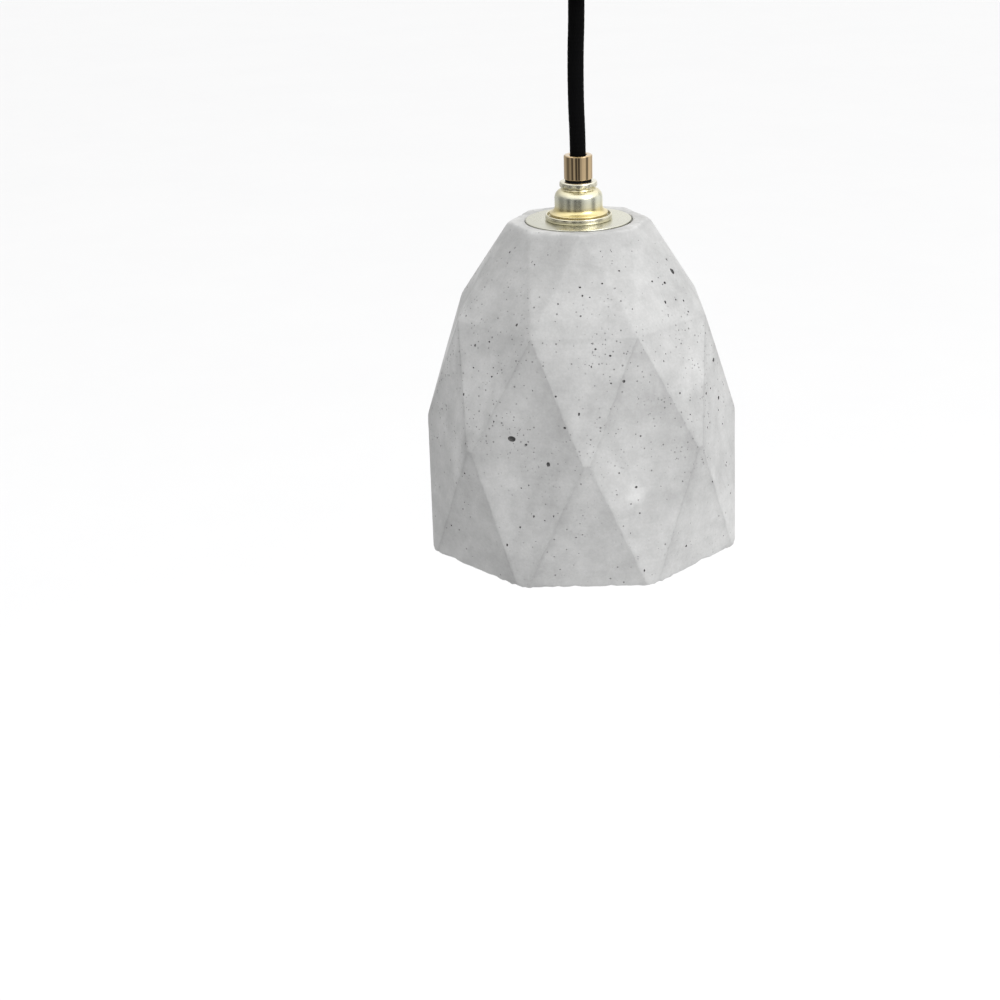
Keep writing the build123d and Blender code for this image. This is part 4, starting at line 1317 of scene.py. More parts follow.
    def build(self) -> None:
        """Casts the shade, cuts its air holes and dresses it."""
        shade = solid("concrete_shade", self.surface(), Finish.CONCRETE.material(), 60.0)
        cutter = solid("pore_cutter", self.pore_shapes(), Finish.PORE.material(), 60.0)
        with_cuts(shade, cutter, 48.0)
        mesh = shade.data
        points = np.zeros(len(mesh.vertices) * 3)
        mesh.vertices.foreach_get("co", points)
        tone_and_painted_light = mesh.attributes.new("tone_and_painted_light", "FLOAT", "POINT")
        tone_and_painted_light.data.foreach_set("value", self.tone_and_painted_light(points.reshape(-1, 3)))
        placed(shade, "shade", "concrete", "shade")


# ------------------------------------------------------------------ turned parts of the lampholder
@dataclass
class TopPlate:
    """The turned plate let into the shade's top: radii in millimetres, heights above the shade's rim."""

    radius: float = 23.5
    bore: float = 14.25
    off_centre: tuple[float, float] = (-0.2, 0.15)
    top: float = 147.3
    thickness: float = 1.5

    def build(self) -> None:
        """Turns the plate, with a rolled outer edge and a faint dish."""
        low, high = self.top - self.thickness, self.top
        profile = rounded([
            (self.bore, low, 0.1), (self.radius, low, 0.2), (self.radius, high - 0.12, 0.3),
            (self.radius - 0.5, high, 0.3), (self.bore + 3.0, high - 0.02, 0.0), (self.bore, high, 0.15),
        ])
        surface = revolved(profile, RIM_Z, 192)
        surface.points[:, :2] += np.array(self.off_centre) * MM
        plate = solid("top_plate_turned", surface, Finish.PLATE.material())
        placed(plate, "shade", "plate_metal", "top_plate")


@dataclass
class LampHolder:
    """Cap, barrel, ring and gasket of the metal lampholder, and the porcelain and brass inside it."""

    plate_top: float = 147.3
    collar_radius: float = 14.8
    collar_height: float = 2.4
    seat_height: float = 1.9
    barrel_radius: float = 13.95
    barrel_bore: float = 12.65
    barrel_bottom: float = 118.0
    barrel_pitch: float = 2.0
    thread_depth: float = 0.5
    thread_top: float = 140.0
    cap_radius: float = 10.6
    cap_lip: float = 12.95
    neck_radius: float = 8.3
    neck_waves: int = 12
    cap_top: float = 164.0
    ring_ribs: int = 24

    def barrel_thread(self, angle: Array, radius: Array, height: Array) -> tuple[Array, Array]:
        """Screws a blunt thread into the barrel's wall, with one turn in each pitch of height.

        Args:
            angle: angle round the axis, in radians.
            radius: distance from the axis, in millimetres.
            height: height above the rim, in millimetres.

        Returns:
            The changed radii and heights.
        """
        phase = height / self.barrel_pitch - angle / TURN
        wave = np.clip(1.5 * np.abs(2 * (phase % 1) - 1) - 0.25, 0, 1)
        inside = np.clip((height - self.barrel_bottom) / 1.5, 0, 1)
        inside = inside * np.clip((self.thread_top - height) / 1.5, 0, 1)
        outer = radius > self.barrel_radius - 0.1
        return radius - np.where(outer, self.thread_depth * wave * inside, 0.0), height

    def barrel(self) -> None:
        """Turns the barrel: threaded tube, rolled collar on the plate, and a turned-in foot."""
        seat = self.plate_top + self.seat_height
        collar = self.plate_top + self.collar_height
        steps = np.arange(self.barrel_bottom + 0.2, self.thread_top + 1.5, self.barrel_pitch / 10)
        wall = np.stack([np.full(len(steps), self.barrel_radius), steps], axis=-1)
        head = rounded([
            (self.barrel_radius, self.thread_top + 1.6, 0.0), (self.barrel_radius, self.plate_top, 0.1),
            (self.collar_radius, self.plate_top + 0.02, 1.0), (self.collar_radius, collar, 1.1),
            (self.collar_radius - 0.85, collar, 0.4), (self.collar_radius - 1.0, seat - 1.2, 0.2),
            (self.barrel_bore + 0.35, seat - 1.2, 0.2), (self.barrel_bore + 0.3, seat, 0.1),
            (self.barrel_bore, seat, 0.1), (self.barrel_bore, self.barrel_bottom + 1.5, 0.2),
            (11.0, self.barrel_bottom + 1.5, 0.2), (11.0, self.barrel_bottom, 0.2),
            (self.barrel_radius - self.thread_depth, self.barrel_bottom, 0.2),
        ], steps=6)
        surface = revolved(np.vstack([wall, head]), RIM_Z, 144, swell=self.barrel_thread)
        barrel = solid("holder_barrel_threaded", surface, Finish.PALE_GOLD.material())
        placed(barrel, "lamp", "yellow_plated", "holder_barrel")

    def neck_wave(self, angle: Array, radius: Array, height: Array) -> tuple[Array, Array]:
        """Flutes in the neck's collar: the radius and the lower edge follow 12 waves.

        Args:
            angle: angle round the axis, in radians.
            radius: distance from the axis, in millimetres.
            height: height above the rim, in millimetres.

        Returns:
            The changed radii and heights.
        """
        collar = np.clip((height - (self.cap_top - 3.1)) / 0.6, 0, 1) * (radius > 7.0)
        wave = 0.5 - 0.5 * np.cos(self.neck_waves * angle)
        low = np.clip((self.cap_top - 0.7 - height) / 1.2, 0, 1)
        return radius - 0.30 * wave * collar * low, height + 0.45 * wave * collar * low

    def cap(self) -> None:
        """Spins the cap: bore, fluted collar, waist, round shoulder, straight body, flare, lip and skirt."""
        top, lip = self.cap_top, self.plate_top + self.seat_height + 0.7
        neck, body, edge = self.neck_radius, self.cap_radius, self.cap_lip
        collar = rounded([
            (5.0, top - 4.0, 0.0), (5.0, top, 0.2), (neck, top, 0.9), (neck, top - 2.3, 0.8),
            (neck - 0.7, top - 2.7, 0.4), (neck - 0.6, top - 3.3, 0.0),
        ], steps=9, closed=False)
        shoulder = arc_through((neck - 0.5, top - 3.4), (body - 0.85, top - 4.75), (body, top - 7.4), 18)
        flare = arc_through((body, lip + 3.5), (body + 0.68, lip + 1.45), (edge - 0.25, lip + 0.62), 12)
        skirt = rounded([
            (edge - 0.25, lip + 0.62, 0.0), (edge, lip + 0.4, 0.25), (edge, lip + 0.02, 0.25),
            (12.6, lip - 0.3, 0.2), (12.6, 144.0, 0.2), (11.8, 144.0, 0.2), (11.8, lip - 0.6, 0.3),
            (body - 0.8, 152.2, 0.5), (body - 0.8, 156.8, 0.8), (6.5, top - 4.2, 0.3), (5.0, top - 4.2, 0.0),
        ], steps=5, closed=False)
        profile = np.vstack([collar, shoulder, flare, skirt[1:]])
        surface = revolved(profile, RIM_Z, 144, swell=self.neck_wave)
        cap = solid("holder_cap_spun", surface, Finish.CAP_GOLD.material(), 50.0)
        placed(cap, "lamp", "yellow_plated", "holder_cap")

    def rib(self, angle: Array, radius: Array, height: Array) -> tuple[Array, Array]:
        """Round grip ribs on the ring's lower part.

        Args:
            angle: angle round the axis, in radians.
            radius: distance from the axis, in millimetres.
            height: height above the rim, in millimetres.

        Returns:
            The changed radii and heights.
        """
        grip = (radius > 16.0) & (radius < 18.0)
        wave = np.clip(np.cos(self.ring_ribs * angle), 0, 1) ** 0.7
        return radius + np.where(grip, 0.68 * wave, 0.0), height

    def ring(self) -> None:
        """Turns the ribbed ring that holds the shade, with its flange above."""
        low, high = 129.5, 135.5
        profile = rounded([
            (14.05, low, 0.3), (17.0, low, 0.3), (17.0, high - 1.6, 0.1), (19.5, high - 1.6, 0.3),
            (19.5, high, 0.3), (14.05, high, 0.3),
        ])
        surface = revolved(profile, RIM_Z, 192, swell=self.rib)
        ring = solid("shade_ring_ribbed", surface, Finish.PALE_GOLD.material())
        placed(ring, "shade_ring", "yellow_plated", "shade_ring")

    def gasket(self) -> None:
        """Moulds the rubber gasket with rounded edges."""
        profile = rounded([(14.6, 135.53, 0.3), (19.5, 135.53, 0.4), (19.5, 137.0, 0.4), (14.6, 137.0, 0.3)])
        gasket = solid("shade_gasket_moulded", revolved(profile, RIM_Z, 96), Finish.RUBBER.material())
        placed(gasket, "shade", "black_rubber", "shade_gasket")

    def insides(self) -> None:
        """Eases the edges of the porcelain, contacts, terminals, screws and wires."""
        pieces = [
            ("insulator", Finish.PORCELAIN, "porcelain", 0.35),
            ("contact_shell", Finish.BRASS, "contact_brass", 0.12),
            ("centre_contact", Finish.BRASS, "contact_brass", 0.1),
            ("line_terminal", Finish.BRASS, "contact_brass", 0.2),
            ("neutral_terminal", Finish.BRASS, "contact_brass", 0.2),
            ("earth_terminal", Finish.BRASS, "contact_brass", 0.2),
            ("holder_screws", Finish.ZINC, "zinc_steel", 0.12),
            ("line_wire", Finish.BROWN_CORE, "brown_pvc", 0.0),
            ("neutral_wire", Finish.BLUE_CORE, "blue_pvc", 0.0),
            ("earth_wire", Finish.EARTH_CORE, "earth_pvc", 0.0),
        ]
        for node, finish, slot, rounding in pieces:
            placed(eased_copy(node, f"{node}_eased", finish.material(), rounding), "lamp", slot)

    def build(self) -> None:
        """Builds every piece of the lampholder."""
        self.cap()
        self.barrel()
        self.ring()
        self.gasket()
        self.insides()


# ------------------------------------------------------------------ cord and its grips
@dataclass
class CordGrip:
    """A nylon insert and a turned nut that hold the cord: sizes in millimetres, from the flange's foot."""

    name: str
    insert_node: str
    nut_node: str
    insert_body: str
    nut_body: str
    base: float
    up: float
    mouth: float
    flare: float
    gap: float = 0.0
    stub_radius: float = 4.95
    stub_length: float = 6.0
    flange_radius: float = 5.8
    flange: float = 1.0
    collet_radius: float = 4.7
    collet: float = 5.4
    nut_radius: float = 6.3
    nut_length: float = 10.4
    bore: float = 3.55

    def flipped(self, corners: Sequence[Corner]) -> Array:
        """A rounded outline, upside down for a grip that points down.

        Args:
            corners: (radius, height, rounding) in millimetres.

        Returns:
            (count, 2) radii and heights.
        """
        profile = rounded(corners, steps=6)
        profile[:, 1] *= self.up
        return profile

    def thread(self, angle: Array, radius: Array, height: Array) -> tuple[Array, Array]:
        """The stub's fine screw thread.

        Args:
            angle: angle round the axis, in radians.
            radius: distance from the axis, in millimetres.
            height: height above the rim, in millimetres.

        Returns:
            The changed radii and heights.
        """
        below = height * self.up < -0.2
        wave = 0.5 + 0.5 * np.cos(TURN * height - angle)
        return radius - np.where(below & (radius > 4.8), 0.3 * wave, 0.0), height

    def insert(self) -> None:
        """Moulds the insert: threaded stub, flange and collet."""
        end = self.flange + self.collet
        stub = [(self.stub_radius, -depth, 0.0) for depth in np.arange(self.stub_length - 0.2, 0.1, -0.125)]
        corners = [(self.bore, -self.stub_length, 0.1), (self.stub_radius - 0.3, -self.stub_length, 0.1),
                   *stub, (self.flange_radius, 0.0, 0.2), (self.flange_radius, self.flange, 0.2),
                   (self.collet_radius, self.flange, 0.1), (self.collet_radius, end - 1.0, 0.2),
                   (self.collet_radius - 0.5, end, 0.2), (self.bore, end, 0.1)]
        surface = revolved(self.flipped(corners), self.base, 96, swell=self.thread)
        piece = solid(f"{self.name}_insert_moulded", surface, Finish.NYLON.material())
        placed(piece, self.insert_body, "black_nylon", self.insert_node)

    def nut(self) -> None:
        """Turns the nut: a plain polished cylinder with a bevelled rim and a round mouth."""
        start = self.flange + self.gap
        end = start + self.nut_length
        corners = [
            (4.9, start, 0.1), (self.nut_radius, start, 0.3), (self.nut_radius, end - 0.4, 0.1),
            (self.nut_radius - 0.4, end, 0.1), (self.mouth + self.flare, end, 0.12),
            (self.mouth, end - self.flare, 0.4), (self.mouth, end - 2.4, 0.2), (4.9, end - 3.4, 0.2),
        ]
        surface = revolved(self.flipped(corners), self.base, 144)
        piece = solid(f"{self.name}_nut_turned", surface, Finish.BRONZE.material(), 26.0)
        placed(piece, self.nut_body, "polished_brass", self.nut_node)

    def build(self) -> None:
        """Builds both pieces."""
        self.insert()
        self.nut()


@dataclass
class TextileCord:
    """The braided cord between the two grips, and its end in the canopy."""

    radius: float = 3.45
    braid_depth: float = 0.10
    yarns: int = 12
    pitch: float = 11.0
    around: int = 96
    step: float = 0.42
    bow: float = 0.65

    def weave(self, angle: Array, along: Array) -> Array:
        """Height of the braid's yarns.

        a and b count yarns along the two slanting directions. One set stands at |sin pi a| and goes over
        where sin pi a sin pi b is positive, and the other set goes over where it is negative.

        Args:
            angle: angle round the cord.
            along: metres along the cord.

        Returns:
            Added radius in metres.
        """
        share, way = angle / TURN * self.yarns, along / (self.pitch * MM)
        first, second = np.sin(math.pi * 2 * (share + way)), np.sin(math.pi * 2 * (share - way))
        over = 0.5 * (np.abs(first) + first * second)
        under = 0.5 * (np.abs(second) - first * second)
        return self.braid_depth * MM * (np.maximum(over, under) - 0.5)

    def route_line(self, route: Sequence[tuple[float, float, float]]) -> Array:
        """Even points of the smooth line that a route's points control.

        Args:
            route: control points in metres.

        Returns:
            (count, 3) points of the NURBS line of order 3.
        """
        curve = bpy.data.curves.new("route", "CURVE")
        curve.dimensions = "3D"
        spline = curve.splines.new("NURBS")
        spline.points.add(len(route) - 1)
        spline.points.foreach_set("co", np.array([(*point, 1.0) for point in route]).ravel())
        spline.order_u = 3
        spline.use_endpoint_u = True
        spline.resolution_u = 64
        holder = bpy.data.objects.new("route", curve)
        bpy.context.scene.collection.objects.link(holder)
        graph = bpy.context.evaluated_depsgraph_get()
        line = bpy.data.meshes.new_from_object(holder.evaluated_get(graph))
        points = np.zeros(len(line.vertices) * 3)
        line.vertices.foreach_get("co", points)
        bpy.data.objects.remove(holder)
        points = points.reshape(-1, 3)
        along = np.concatenate([[0], np.cumsum(np.linalg.norm(np.diff(points, axis=0), axis=1))])
        even = np.linspace(0, along[-1], max(8, int(along[-1] / (self.step * MM))))
        return np.stack([np.interp(even, along, points[:, axis]) for axis in range(3)], axis=-1)

    def free_cord(self) -> None:
        """The hanging stretch, straight under the lamp's weight with a slight set from the reel."""
        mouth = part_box("outlet_nut")[0].z
        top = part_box("cord")[1].z
        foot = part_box("cord")[0].z
        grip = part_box("grip_nut")[1].z
        bow = -self.bow * MM
        route = [
            (0.0, 0.0, top - self.radius * MM - 0.0002),
            (0.0, 0.0, mouth - 0.010),
            (bow, 0.0, mouth - 0.026),
            (bow, 0.0, mouth - 0.046),
            (0.0, 0.0, grip + 0.006),
            (0.0, 0.0, foot + 0.0005),
        ]
        path = self.route_line(route)
        skin = tube(path, self.radius * MM, self.around, self.weave)
        cord = solid("textile_cord", skin, Finish.BRAID.material(), 60.0)
        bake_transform(cord)
        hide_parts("cord")

    def tail(self) -> None:
        """The cord's end inside the canopy."""
        low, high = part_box("cord_tail")
        middle = low.z * 0.5 + high.z * 0.5
        path = self.route_line([(0, 0, low.z + 0.0001), (0, 0, middle), (0, 0, high.z - 0.0001)])
        skin = tube(path, self.radius * MM, self.around, self.weave, domed=False)
        tail = solid("cord_tail_braided", skin, Finish.BRAID.material(), 60.0)
        placed(tail, "ceiling", "black_textile", "cord_tail")

    def build(self) -> None:
        """Builds both stretches."""
        self.free_cord()
        self.tail()


# ------------------------------------------------------------------ bulb
@dataclass
class GlobeBulb:
    """A small clear globe bulb with four filaments: sizes in millimetres, heights above the shade's rim."""

    bottom: float = 58.5
    radius: float = 22.5
    wall: float = 0.8
    neck: float = 7.8
    glass_top: float = 113.5
    cap_radius: float = 6.9
    cap_pitch: float = 2.822
    cap_shoulder: float = 132.5
    thread_end: float = 119.0
    cap_end: float = 111.5
    filament_circle: float = 7.5
    filament_low: float = 68.0
    filament_high: float = 98.0

    def wall_line(self, radius: float, neck: float) -> Array:
        """A globe's outline from its pole to its neck, as a circle's arc that eases into the neck's line.

        Args:
            radius: the globe's radius, in millimetres.
            neck: the neck's radius, in millimetres.

        Returns:
            (count, 2) radii and heights.
        """
        centre = self.bottom + self.radius
        end = math.pi - math.asin(neck / radius)
        angle = np.linspace(0, end - 0.12, 40)
        sphere = np.stack([radius * np.sin(angle), centre - radius * np.cos(angle)], axis=-1)
        t = np.linspace(0, 1, 9)[1:, None]
        first, last = sphere[-1], np.array([neck, sphere[-1, 1] + 5.5])
        corner = np.array([neck, sphere[-1, 1] + 2.2])
        ease = (1 - t) ** 2 * first + 2 * t * (1 - t) * corner + t ** 2 * last
        return np.vstack([sphere, ease, [[neck, self.glass_top]]])

    def glass(self) -> None:
        """Blows the globe: an outer and an inner wall joined at the neck's end."""
        outer = self.wall_line(self.radius, self.neck)
        inner = self.wall_line(self.radius - self.wall, self.neck - self.wall)[::-1]
        surface = revolved(np.vstack([outer, inner]), RIM_Z, 96, closed=False)
        globe = solid("bulb_globe", surface, Finish.GLASS.material(), 50.0)
        placed(globe, "bulb", "clear_glass", "bulb_glass")

    def cap_thread(self, angle: Array, radius: Array, height: Array) -> tuple[Array, Array]:
        """The round screw thread of the cap: radius falls by a cosine once each pitch.

        Args:
            angle: angle round the axis, in radians.
            radius: distance from the axis, in millimetres.
            height: height above the rim, in millimetres.

        Returns:
            The changed radii and heights.
        """
        inside = np.clip((height - self.thread_end) / 1.2, 0, 1)
        inside = inside * np.clip((self.cap_shoulder - 1.0 - height) / 1.0, 0, 1)
        wave = 0.5 - 0.5 * np.cos(TURN * height / self.cap_pitch + angle)
        return radius - 0.5 * wave * inside * (radius > 6.0), height

    def cap(self) -> None:
        """Rolls the screw cap: threaded wall over a flared mouth on the neck."""
        steps = np.arange(self.thread_end, self.cap_shoulder - 1.0, self.cap_pitch / 12)
        wall = np.stack([np.full(len(steps), self.cap_radius), steps], axis=-1)
        top = rounded([
            (self.cap_radius, self.cap_shoulder - 1.0, 0.0),
            (self.cap_radius - 0.1, self.cap_shoulder - 0.3, 0.4),
            (6.0, self.cap_shoulder, 0.3), (0.0, self.cap_shoulder, 0.0), (0.0, self.cap_shoulder - 1.0, 0.0),
            (self.cap_radius - 1.1, self.cap_shoulder - 1.0, 0.3),
            (self.cap_radius - 1.1, self.thread_end, 0.5),
            (self.neck + 0.05, self.cap_end + 2.6, 0.3), (self.neck + 0.05, self.cap_end, 0.1),
            (8.5, self.cap_end, 0.2), (8.5, self.cap_end + 2.2, 0.8),
            (self.cap_radius, self.thread_end - 0.6, 0.8),
        ], closed=False)
        surface = revolved(np.vstack([wall, top]), RIM_Z, 96, swell=self.cap_thread)
        cap = solid("bulb_cap_rolled", surface, Finish.NICKEL.material(), 50.0)
        placed(cap, "bulb", "nickel_plate", "bulb_cap")

    def foot(self) -> None:
        """The cap's black glass seal and its centre contact."""
        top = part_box("bulb_contact")[1].z
        seal_low, seal_high = (box.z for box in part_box("bulb_insulator"))
        low, high = (seal_low - RIM_Z) / MM, (seal_high - RIM_Z) / MM
        seal = rounded([
            (0, low, 0), (6.0, low, 0.3), (5.2, low + 0.9, 0.5), (3.0, high, 0.4), (0, high, 0),
        ], closed=False)
        piece = solid("bulb_seal", revolved(seal, RIM_Z, 72, closed=False), Finish.VITRITE.material())
        placed(piece, "bulb_foot", "black_vitrite", "bulb_insulator")
        end = (top - RIM_Z) / MM
        button = rounded([
            (0, high, 0), (2.4, high, 0.2), (2.4, end - 0.5, 0.4), (1.6, end, 0.4), (0, end, 0),
        ], closed=False)
        piece = solid("bulb_button", revolved(button, RIM_Z, 48, closed=False), Finish.NICKEL.material())
        placed(piece, "bulb_foot", "nickel_plate", "bulb_contact")

    def stem(self) -> None:
        """Presses the glass stem: a slim rod that flares to the neck's seal."""
        profile = rounded([
            (0, 94.0, 0), (2.2, 94.0, 1.2), (2.2, 104.0, 2.5), (6.9, 110.0, 2.5), (6.9, 113.0, 0.3),
            (0, 113.0, 0),
        ], closed=False)
        surface = revolved(profile, RIM_Z, 64, closed=False)
        stem = solid("bulb_stem_pressed", surface, Finish.GLASS.material(), 50.0)
        placed(stem, "bulb", "clear_glass", "bulb_stem")

    def filaments(self) -> None:
        """Coats four straight filaments, each with a beaded surface."""
        count = 40
        level = np.linspace(self.filament_low + 0.8, self.filament_high - 0.8, count) * MM + RIM_Z
        rods = []
        for turn in range(4):
            x = self.filament_circle * math.cos(turn * TURN / 4)
            y = self.filament_circle * math.sin(turn * TURN / 4)
            path = np.stack([np.full(count, x * MM), np.full(count, y * MM), level], axis=-1)
            rods.append(tube(path, 0.74 * MM, 20, lambda a, s: 0.05 * MM * np.cos(s / MM * 4.2) + 0 * a))
        surface = joined(rods)
        piece = solid("bulb_filament_rods", surface, Finish.PHOSPHOR.material(), 60.0)
        placed(piece, "bulb", "filament_coat", "bulb_filaments")

    def build(self) -> None:
        """Builds every piece of the bulb."""
        self.glass()
        self.cap()
        self.foot()
        self.stem()
        self.filaments()


# ------------------------------------------------------------------ canopy
@dataclass
class CeilingCanopy:
    """The spun canopy and what it hides: radii in millimetres, heights below the ceiling."""

    radius: float = 40.0
    height: float = 30.0
    wall: float = 1.2
    corner: float = 5.0
    hole: float = 5.0
    screw_drop: float = 6.0

    def cup(self) -> None:
        """Spins the canopy cup with a rolled edge and a hole for the grip, and drills its two side holes."""
        r, h, w, c = self.radius, self.height, self.wall, self.corner
        profile = rounded([
            (self.hole, -h, 0.15), (r, -h, c * 1.25), (r, 0.0, 0.5), (r - w, 0.0, 0.5),
            (r - w, w - h, (c - w) * 1.25), (self.hole, w - h, 0.15),
        ], steps=14)
        cup = solid("canopy_spun", revolved(profile, 0.0, 160), Finish.PALE_GOLD.material())
        drill = np.array([(0.0, -48.0), (1.6, -48.0), (1.6, 48.0), (0.0, 48.0)])
        bar = revolved(drill, 0.0, 24, closed=False)
        bar.points = bar.points[:, [2, 1, 0]] + np.array([0.0, 0.0, -self.screw_drop * MM])
        cutter = solid("side_drill", bar, Finish.PALE_GOLD.material())
        with_cuts(cup, cutter, 38.0)
        placed(cup, "ceiling", "yellow_plated", "canopy")

    def screws(self) -> None:
        """Turns the two knurled side screws."""
        def knurl(angle: Array, radius: Array, height: Array) -> tuple[Array, Array]:
            """Shallow grooves round the head.

            Args:
                angle: angle round the axis, in radians.
                radius: distance from the axis, in millimetres.
                height: distance along the screw, in millimetres.

            Returns:
                The changed radii and heights.
            """
            head = (height > self.radius) & (radius > 2.3)
            return radius - np.where(head, 0.12 * (0.5 - 0.5 * np.cos(28 * angle)), 0.0), height

        end = self.radius + 1.6
        profile = rounded([
            (0, self.radius - 4.5, 0), (1.45, self.radius - 4.5, 0.3), (1.45, self.radius, 0.1),
            (2.75, self.radius, 0.15), (2.75, self.radius + 0.3, 0.0), (2.75, end, 0.45), (1.2, end, 0.3),
            (0.9, end - 0.3, 0.2), (0, end - 0.3, 0),
        ], closed=False)
        sides = []
        for sign in (1.0, -1.0):
            one = revolved(profile, 0.0, 84, closed=False, swell=knurl)
            one.points = one.points[:, [2, 1, 0]] * np.array([sign, 1.0, 1.0])
            one.points[:, 2] -= self.screw_drop * MM
            sides.append(one)
        piece = solid("canopy_screws_knurled", joined(sides), Finish.BRONZE.material(), 30.0)
        placed(piece, "ceiling", "polished_brass", "canopy_screws")

    def insides(self) -> None:
        """Eases the edges of the bracket, locknut, connector strip and wires."""
        pieces = [
            ("ceiling_bracket", Finish.ZINC, "zinc_steel", 0.3),
            ("outlet_locknut", Finish.ZINC, "zinc_steel", 0.35),
            ("terminal_block", Finish.POLYAMIDE, "white_polyamide", 0.5),
            ("terminal_clamps", Finish.BRASS, "contact_brass", 0.15),
            ("terminal_screws", Finish.ZINC, "zinc_steel", 0.2),
            ("supply_line_wire", Finish.BROWN_CORE, "brown_pvc", 0.0),
            ("supply_neutral_wire", Finish.BLUE_CORE, "blue_pvc", 0.0),
            ("supply_earth_wire", Finish.EARTH_CORE, "earth_pvc", 0.0),
        ]
        for node, finish, slot, rounding in pieces:
            placed(eased_copy(node, f"{node}_eased", finish.material(), rounding), "ceiling", slot)

    def build(self) -> None:
        """Builds every piece of the canopy."""
        self.cup()
        self.screws()
        self.insides()


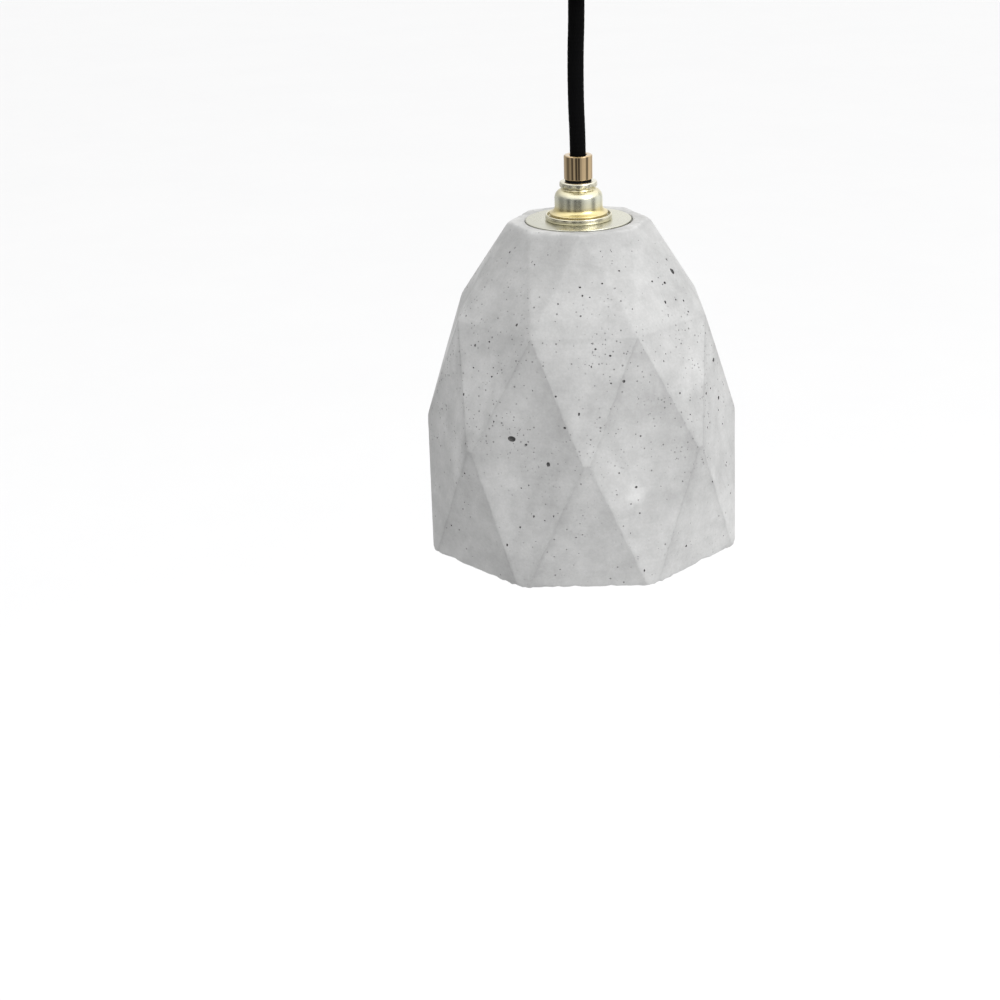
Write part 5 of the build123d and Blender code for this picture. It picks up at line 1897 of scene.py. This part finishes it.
# ------------------------------------------------------------------ studio
@dataclass
class Studio:
    """Pale floor, soft light and the camera."""

    floor_drop: float = 1.25
    camera_place: tuple[float, float, float] = (-0.0196, -0.6683, 0.0154)
    yaw: float = -0.0292
    pitch: float = 0.4059
    roll: float = -0.03431
    lens: float = 54.76
    screen_radius: float = 1.1
    screen_top: float = 0.30
    stripes: tuple[tuple[float, float], ...] = (
        (-180, 0.95), (-152, 0.6), (-128, 0.62), (-112, 0.5), (-100, 0.22), (-84, 0.2), (-74, 0.42),
        (-62, 0.44), (-55, 0.12), (-44, 0.10), (-38, 0.5), (-27, 0.52), (-22, 0.10), (-12, 0.06),
        (-7, 0.34), (-3, 0.34), (1, 0.06), (10, 0.08), (15, 0.52), (24, 0.6), (34, 0.85), (58, 0.95),
        (66, 0.3), (80, 0.25), (90, 1.0), (118, 1.0), (126, 0.7), (142, 0.75), (156, 1.1),
    )

    def camera(self) -> None:
        """Stands the camera in front of the lamp and a little above it, looking down."""
        ahead = Vector((math.sin(self.yaw) * math.cos(self.pitch), math.cos(self.yaw) * math.cos(self.pitch),
                        -math.sin(self.pitch)))
        right = Vector((math.cos(self.yaw), -math.sin(self.yaw), 0.0))
        up = right.cross(ahead)
        tilted_right = right * math.cos(self.roll) + up * math.sin(self.roll)
        tilted_up = up * math.cos(self.roll) - right * math.sin(self.roll)
        data = bpy.data.cameras.new("camera")
        data.lens = self.lens
        data.sensor_width = 36.0
        data.clip_start = 0.01
        data.clip_end = 200.0
        made = bpy.data.objects.new("camera", data)
        turned = Matrix((tilted_right, tilted_up, -ahead)).transposed().to_4x4()
        made.matrix_world = Matrix.Translation(self.camera_place) @ turned
        bpy.context.scene.collection.objects.link(made)
        bpy.context.scene.camera = made

    def floor(self) -> None:
        """Lays a wide pale floor below the lamp."""
        side = 60.0
        corners = np.array([(-side, -side), (side, -side), (side, side), (-side, side)])
        points = np.hstack([corners, np.full((4, 1), -self.floor_drop)])
        material, tree, shader, place = new_sheet("floor_paint")
        cloud = MOTTLE.place(tree, vector=place, scale=1.5).outputs[0]
        paint = mixed(tree, cloud, (0.715, 0.715, 0.717, 1), (0.725, 0.725, 0.726, 1))
        tree.links.new(paint, shader.inputs["Base Color"])
        shader.inputs["Roughness"].default_value = 0.9
        mesh = bpy.data.meshes.new("floor")
        mesh.from_pydata(points.tolist(), [], [(0, 1, 2, 3)])
        mesh.materials.append(material)
        made = bpy.data.objects.new("floor", mesh)
        bpy.context.scene.collection.objects.link(made)

    def reflected_room(self) -> None:
        """Stands a striped screen round the lamp that only gloss picks up, like windows and dark walls.

        The screen is a cylinder, (r sin a, -r cos a, z), and a is 0 towards the camera. Its brightness
        follows a.
        """
        turn = np.linspace(-math.pi, math.pi, 97)[None, :]
        level = np.linspace(-self.floor_drop + 0.05, self.screen_top, 12)[:, None]
        points = np.stack(np.broadcast_arrays(
            self.screen_radius * np.sin(turn), -self.screen_radius * np.cos(turn), level), axis=-1)
        places = np.stack(np.broadcast_arrays((turn + math.pi) / TURN, level), axis=-1)
        material = bpy.data.materials.new("striped_room")
        material.use_nodes = True
        tree = material.node_tree
        tree.nodes.clear()
        own_map = put(tree, "ShaderNodeUVMap", uv_map="UVMap")
        parts = put(tree, "ShaderNodeSeparateXYZ", {"Vector": own_map.outputs[0]})
        wobble = put(tree, "ShaderNodeTexNoise", {"Vector": own_map.outputs[0], "Scale": 3.0, "Detail": 1.0})
        moved = maths(tree, "ADD", parts.outputs[0], mapped(tree, wobble.outputs[0], 0.0, 1.0, -0.01, 0.01))
        stops = [((azimuth + 180) / 360, (bright, bright, bright * 0.985))
                 for azimuth, bright in self.stripes]
        colour = ramp(tree, moved, stops)
        light = put(tree, "ShaderNodeEmission", {"Color": colour, "Strength": 1.0})
        put(tree, "ShaderNodeOutputMaterial", {"Surface": light.outputs[0]})
        surface = grid(points, places=places)
        screen = solid("striped_room", surface, material)
        screen.visible_camera = False
        screen.visible_diffuse = False
        screen.visible_shadow = False
        screen.visible_transmission = False

    def sky(self) -> None:
        """Fills the room with soft light, brighter on the right and above, before a plain pale backdrop."""
        world = bpy.data.worlds.new("soft_room")
        bpy.context.scene.world = world
        world.use_nodes = True
        tree = world.node_tree
        tree.nodes.clear()
        place = tree.nodes.new("ShaderNodeTexCoord").outputs["Generated"]
        parts = put(tree, "ShaderNodeSeparateXYZ", {"Vector": place})
        side = mapped(tree, parts.outputs[0], -1.0, 1.0)
        around = ramp(tree, side, [(0.0, (0.11, 0.111, 0.113)), (0.35, (0.43, 0.432, 0.437)),
                                   (0.7, (1.0, 1.0, 1.0)), (1.0, (1.24, 1.24, 1.23))])
        above = mapped(tree, parts.outputs[2], 0.12, 0.85, 0.0, 0.85)
        colour = mixed(tree, above, around, (1.55, 1.55, 1.55, 1.0))
        seen = tree.nodes.new("ShaderNodeLightPath").outputs["Is Camera Ray"]
        colour = mixed(tree, seen, colour, (0.92, 0.92, 0.925, 1.0))
        light = put(tree, "ShaderNodeBackground", {"Color": colour, "Strength": 1.08})
        put(tree, "ShaderNodeOutputWorld", {"Surface": light.outputs[0]})

    def lamps(self) -> None:
        """Sets the key light on the upper right and a weak fill on the left."""
        lights = (("key", (1.7, -1.6, 1.6), 1.6, 33.0), ("fill", (-1.5, -1.6, 1.9), 2.0, 2.0))
        for name, place, size, power in lights:
            data = bpy.data.lights.new(name, "AREA")
            data.shape = "SQUARE"
            data.size = size
            data.energy = power
            made = bpy.data.objects.new(name, data)
            made.location = place
            made.rotation_euler = (Vector((0, 0, -0.2)) - Vector(place)).to_track_quat("-Z", "Y").to_euler()
            bpy.context.scene.collection.objects.link(made)

    def build(self) -> None:
        """Builds the whole studio."""
        self.floor()
        self.reflected_room()
        self.sky()
        self.lamps()
        bpy.context.scene.view_settings.view_transform = "Standard"


def main() -> None:
    """Builds the lamp and the studio in order."""
    logging.basicConfig(level=logging.INFO, format="%(name)s %(message)s")
    studio = Studio()
    studio.camera()
    holder = LampHolder()
    lower_base = RIM_Z + holder.cap_top * MM
    canopy = CeilingCanopy()
    upper_base = -canopy.height * MM
    grips = [
        CordGrip("grip", "grip_insert", "grip_nut", "lamp", "lamp", lower_base, 1.0, 3.75, 0.3),
        CordGrip("outlet", "outlet_insert", "outlet_nut", "ceiling", "cord_outlet", upper_base, -1.0, 3.85,
                 1.0, 0.05),
    ]
    for part in (TextileCord(), ConcreteShade(), TopPlate(), holder, *grips, GlobeBulb(), canopy):
        LOG.info("building %s", type(part).__name__)
        part.build()
    studio.build()


if __name__ == "__main__":
    main()
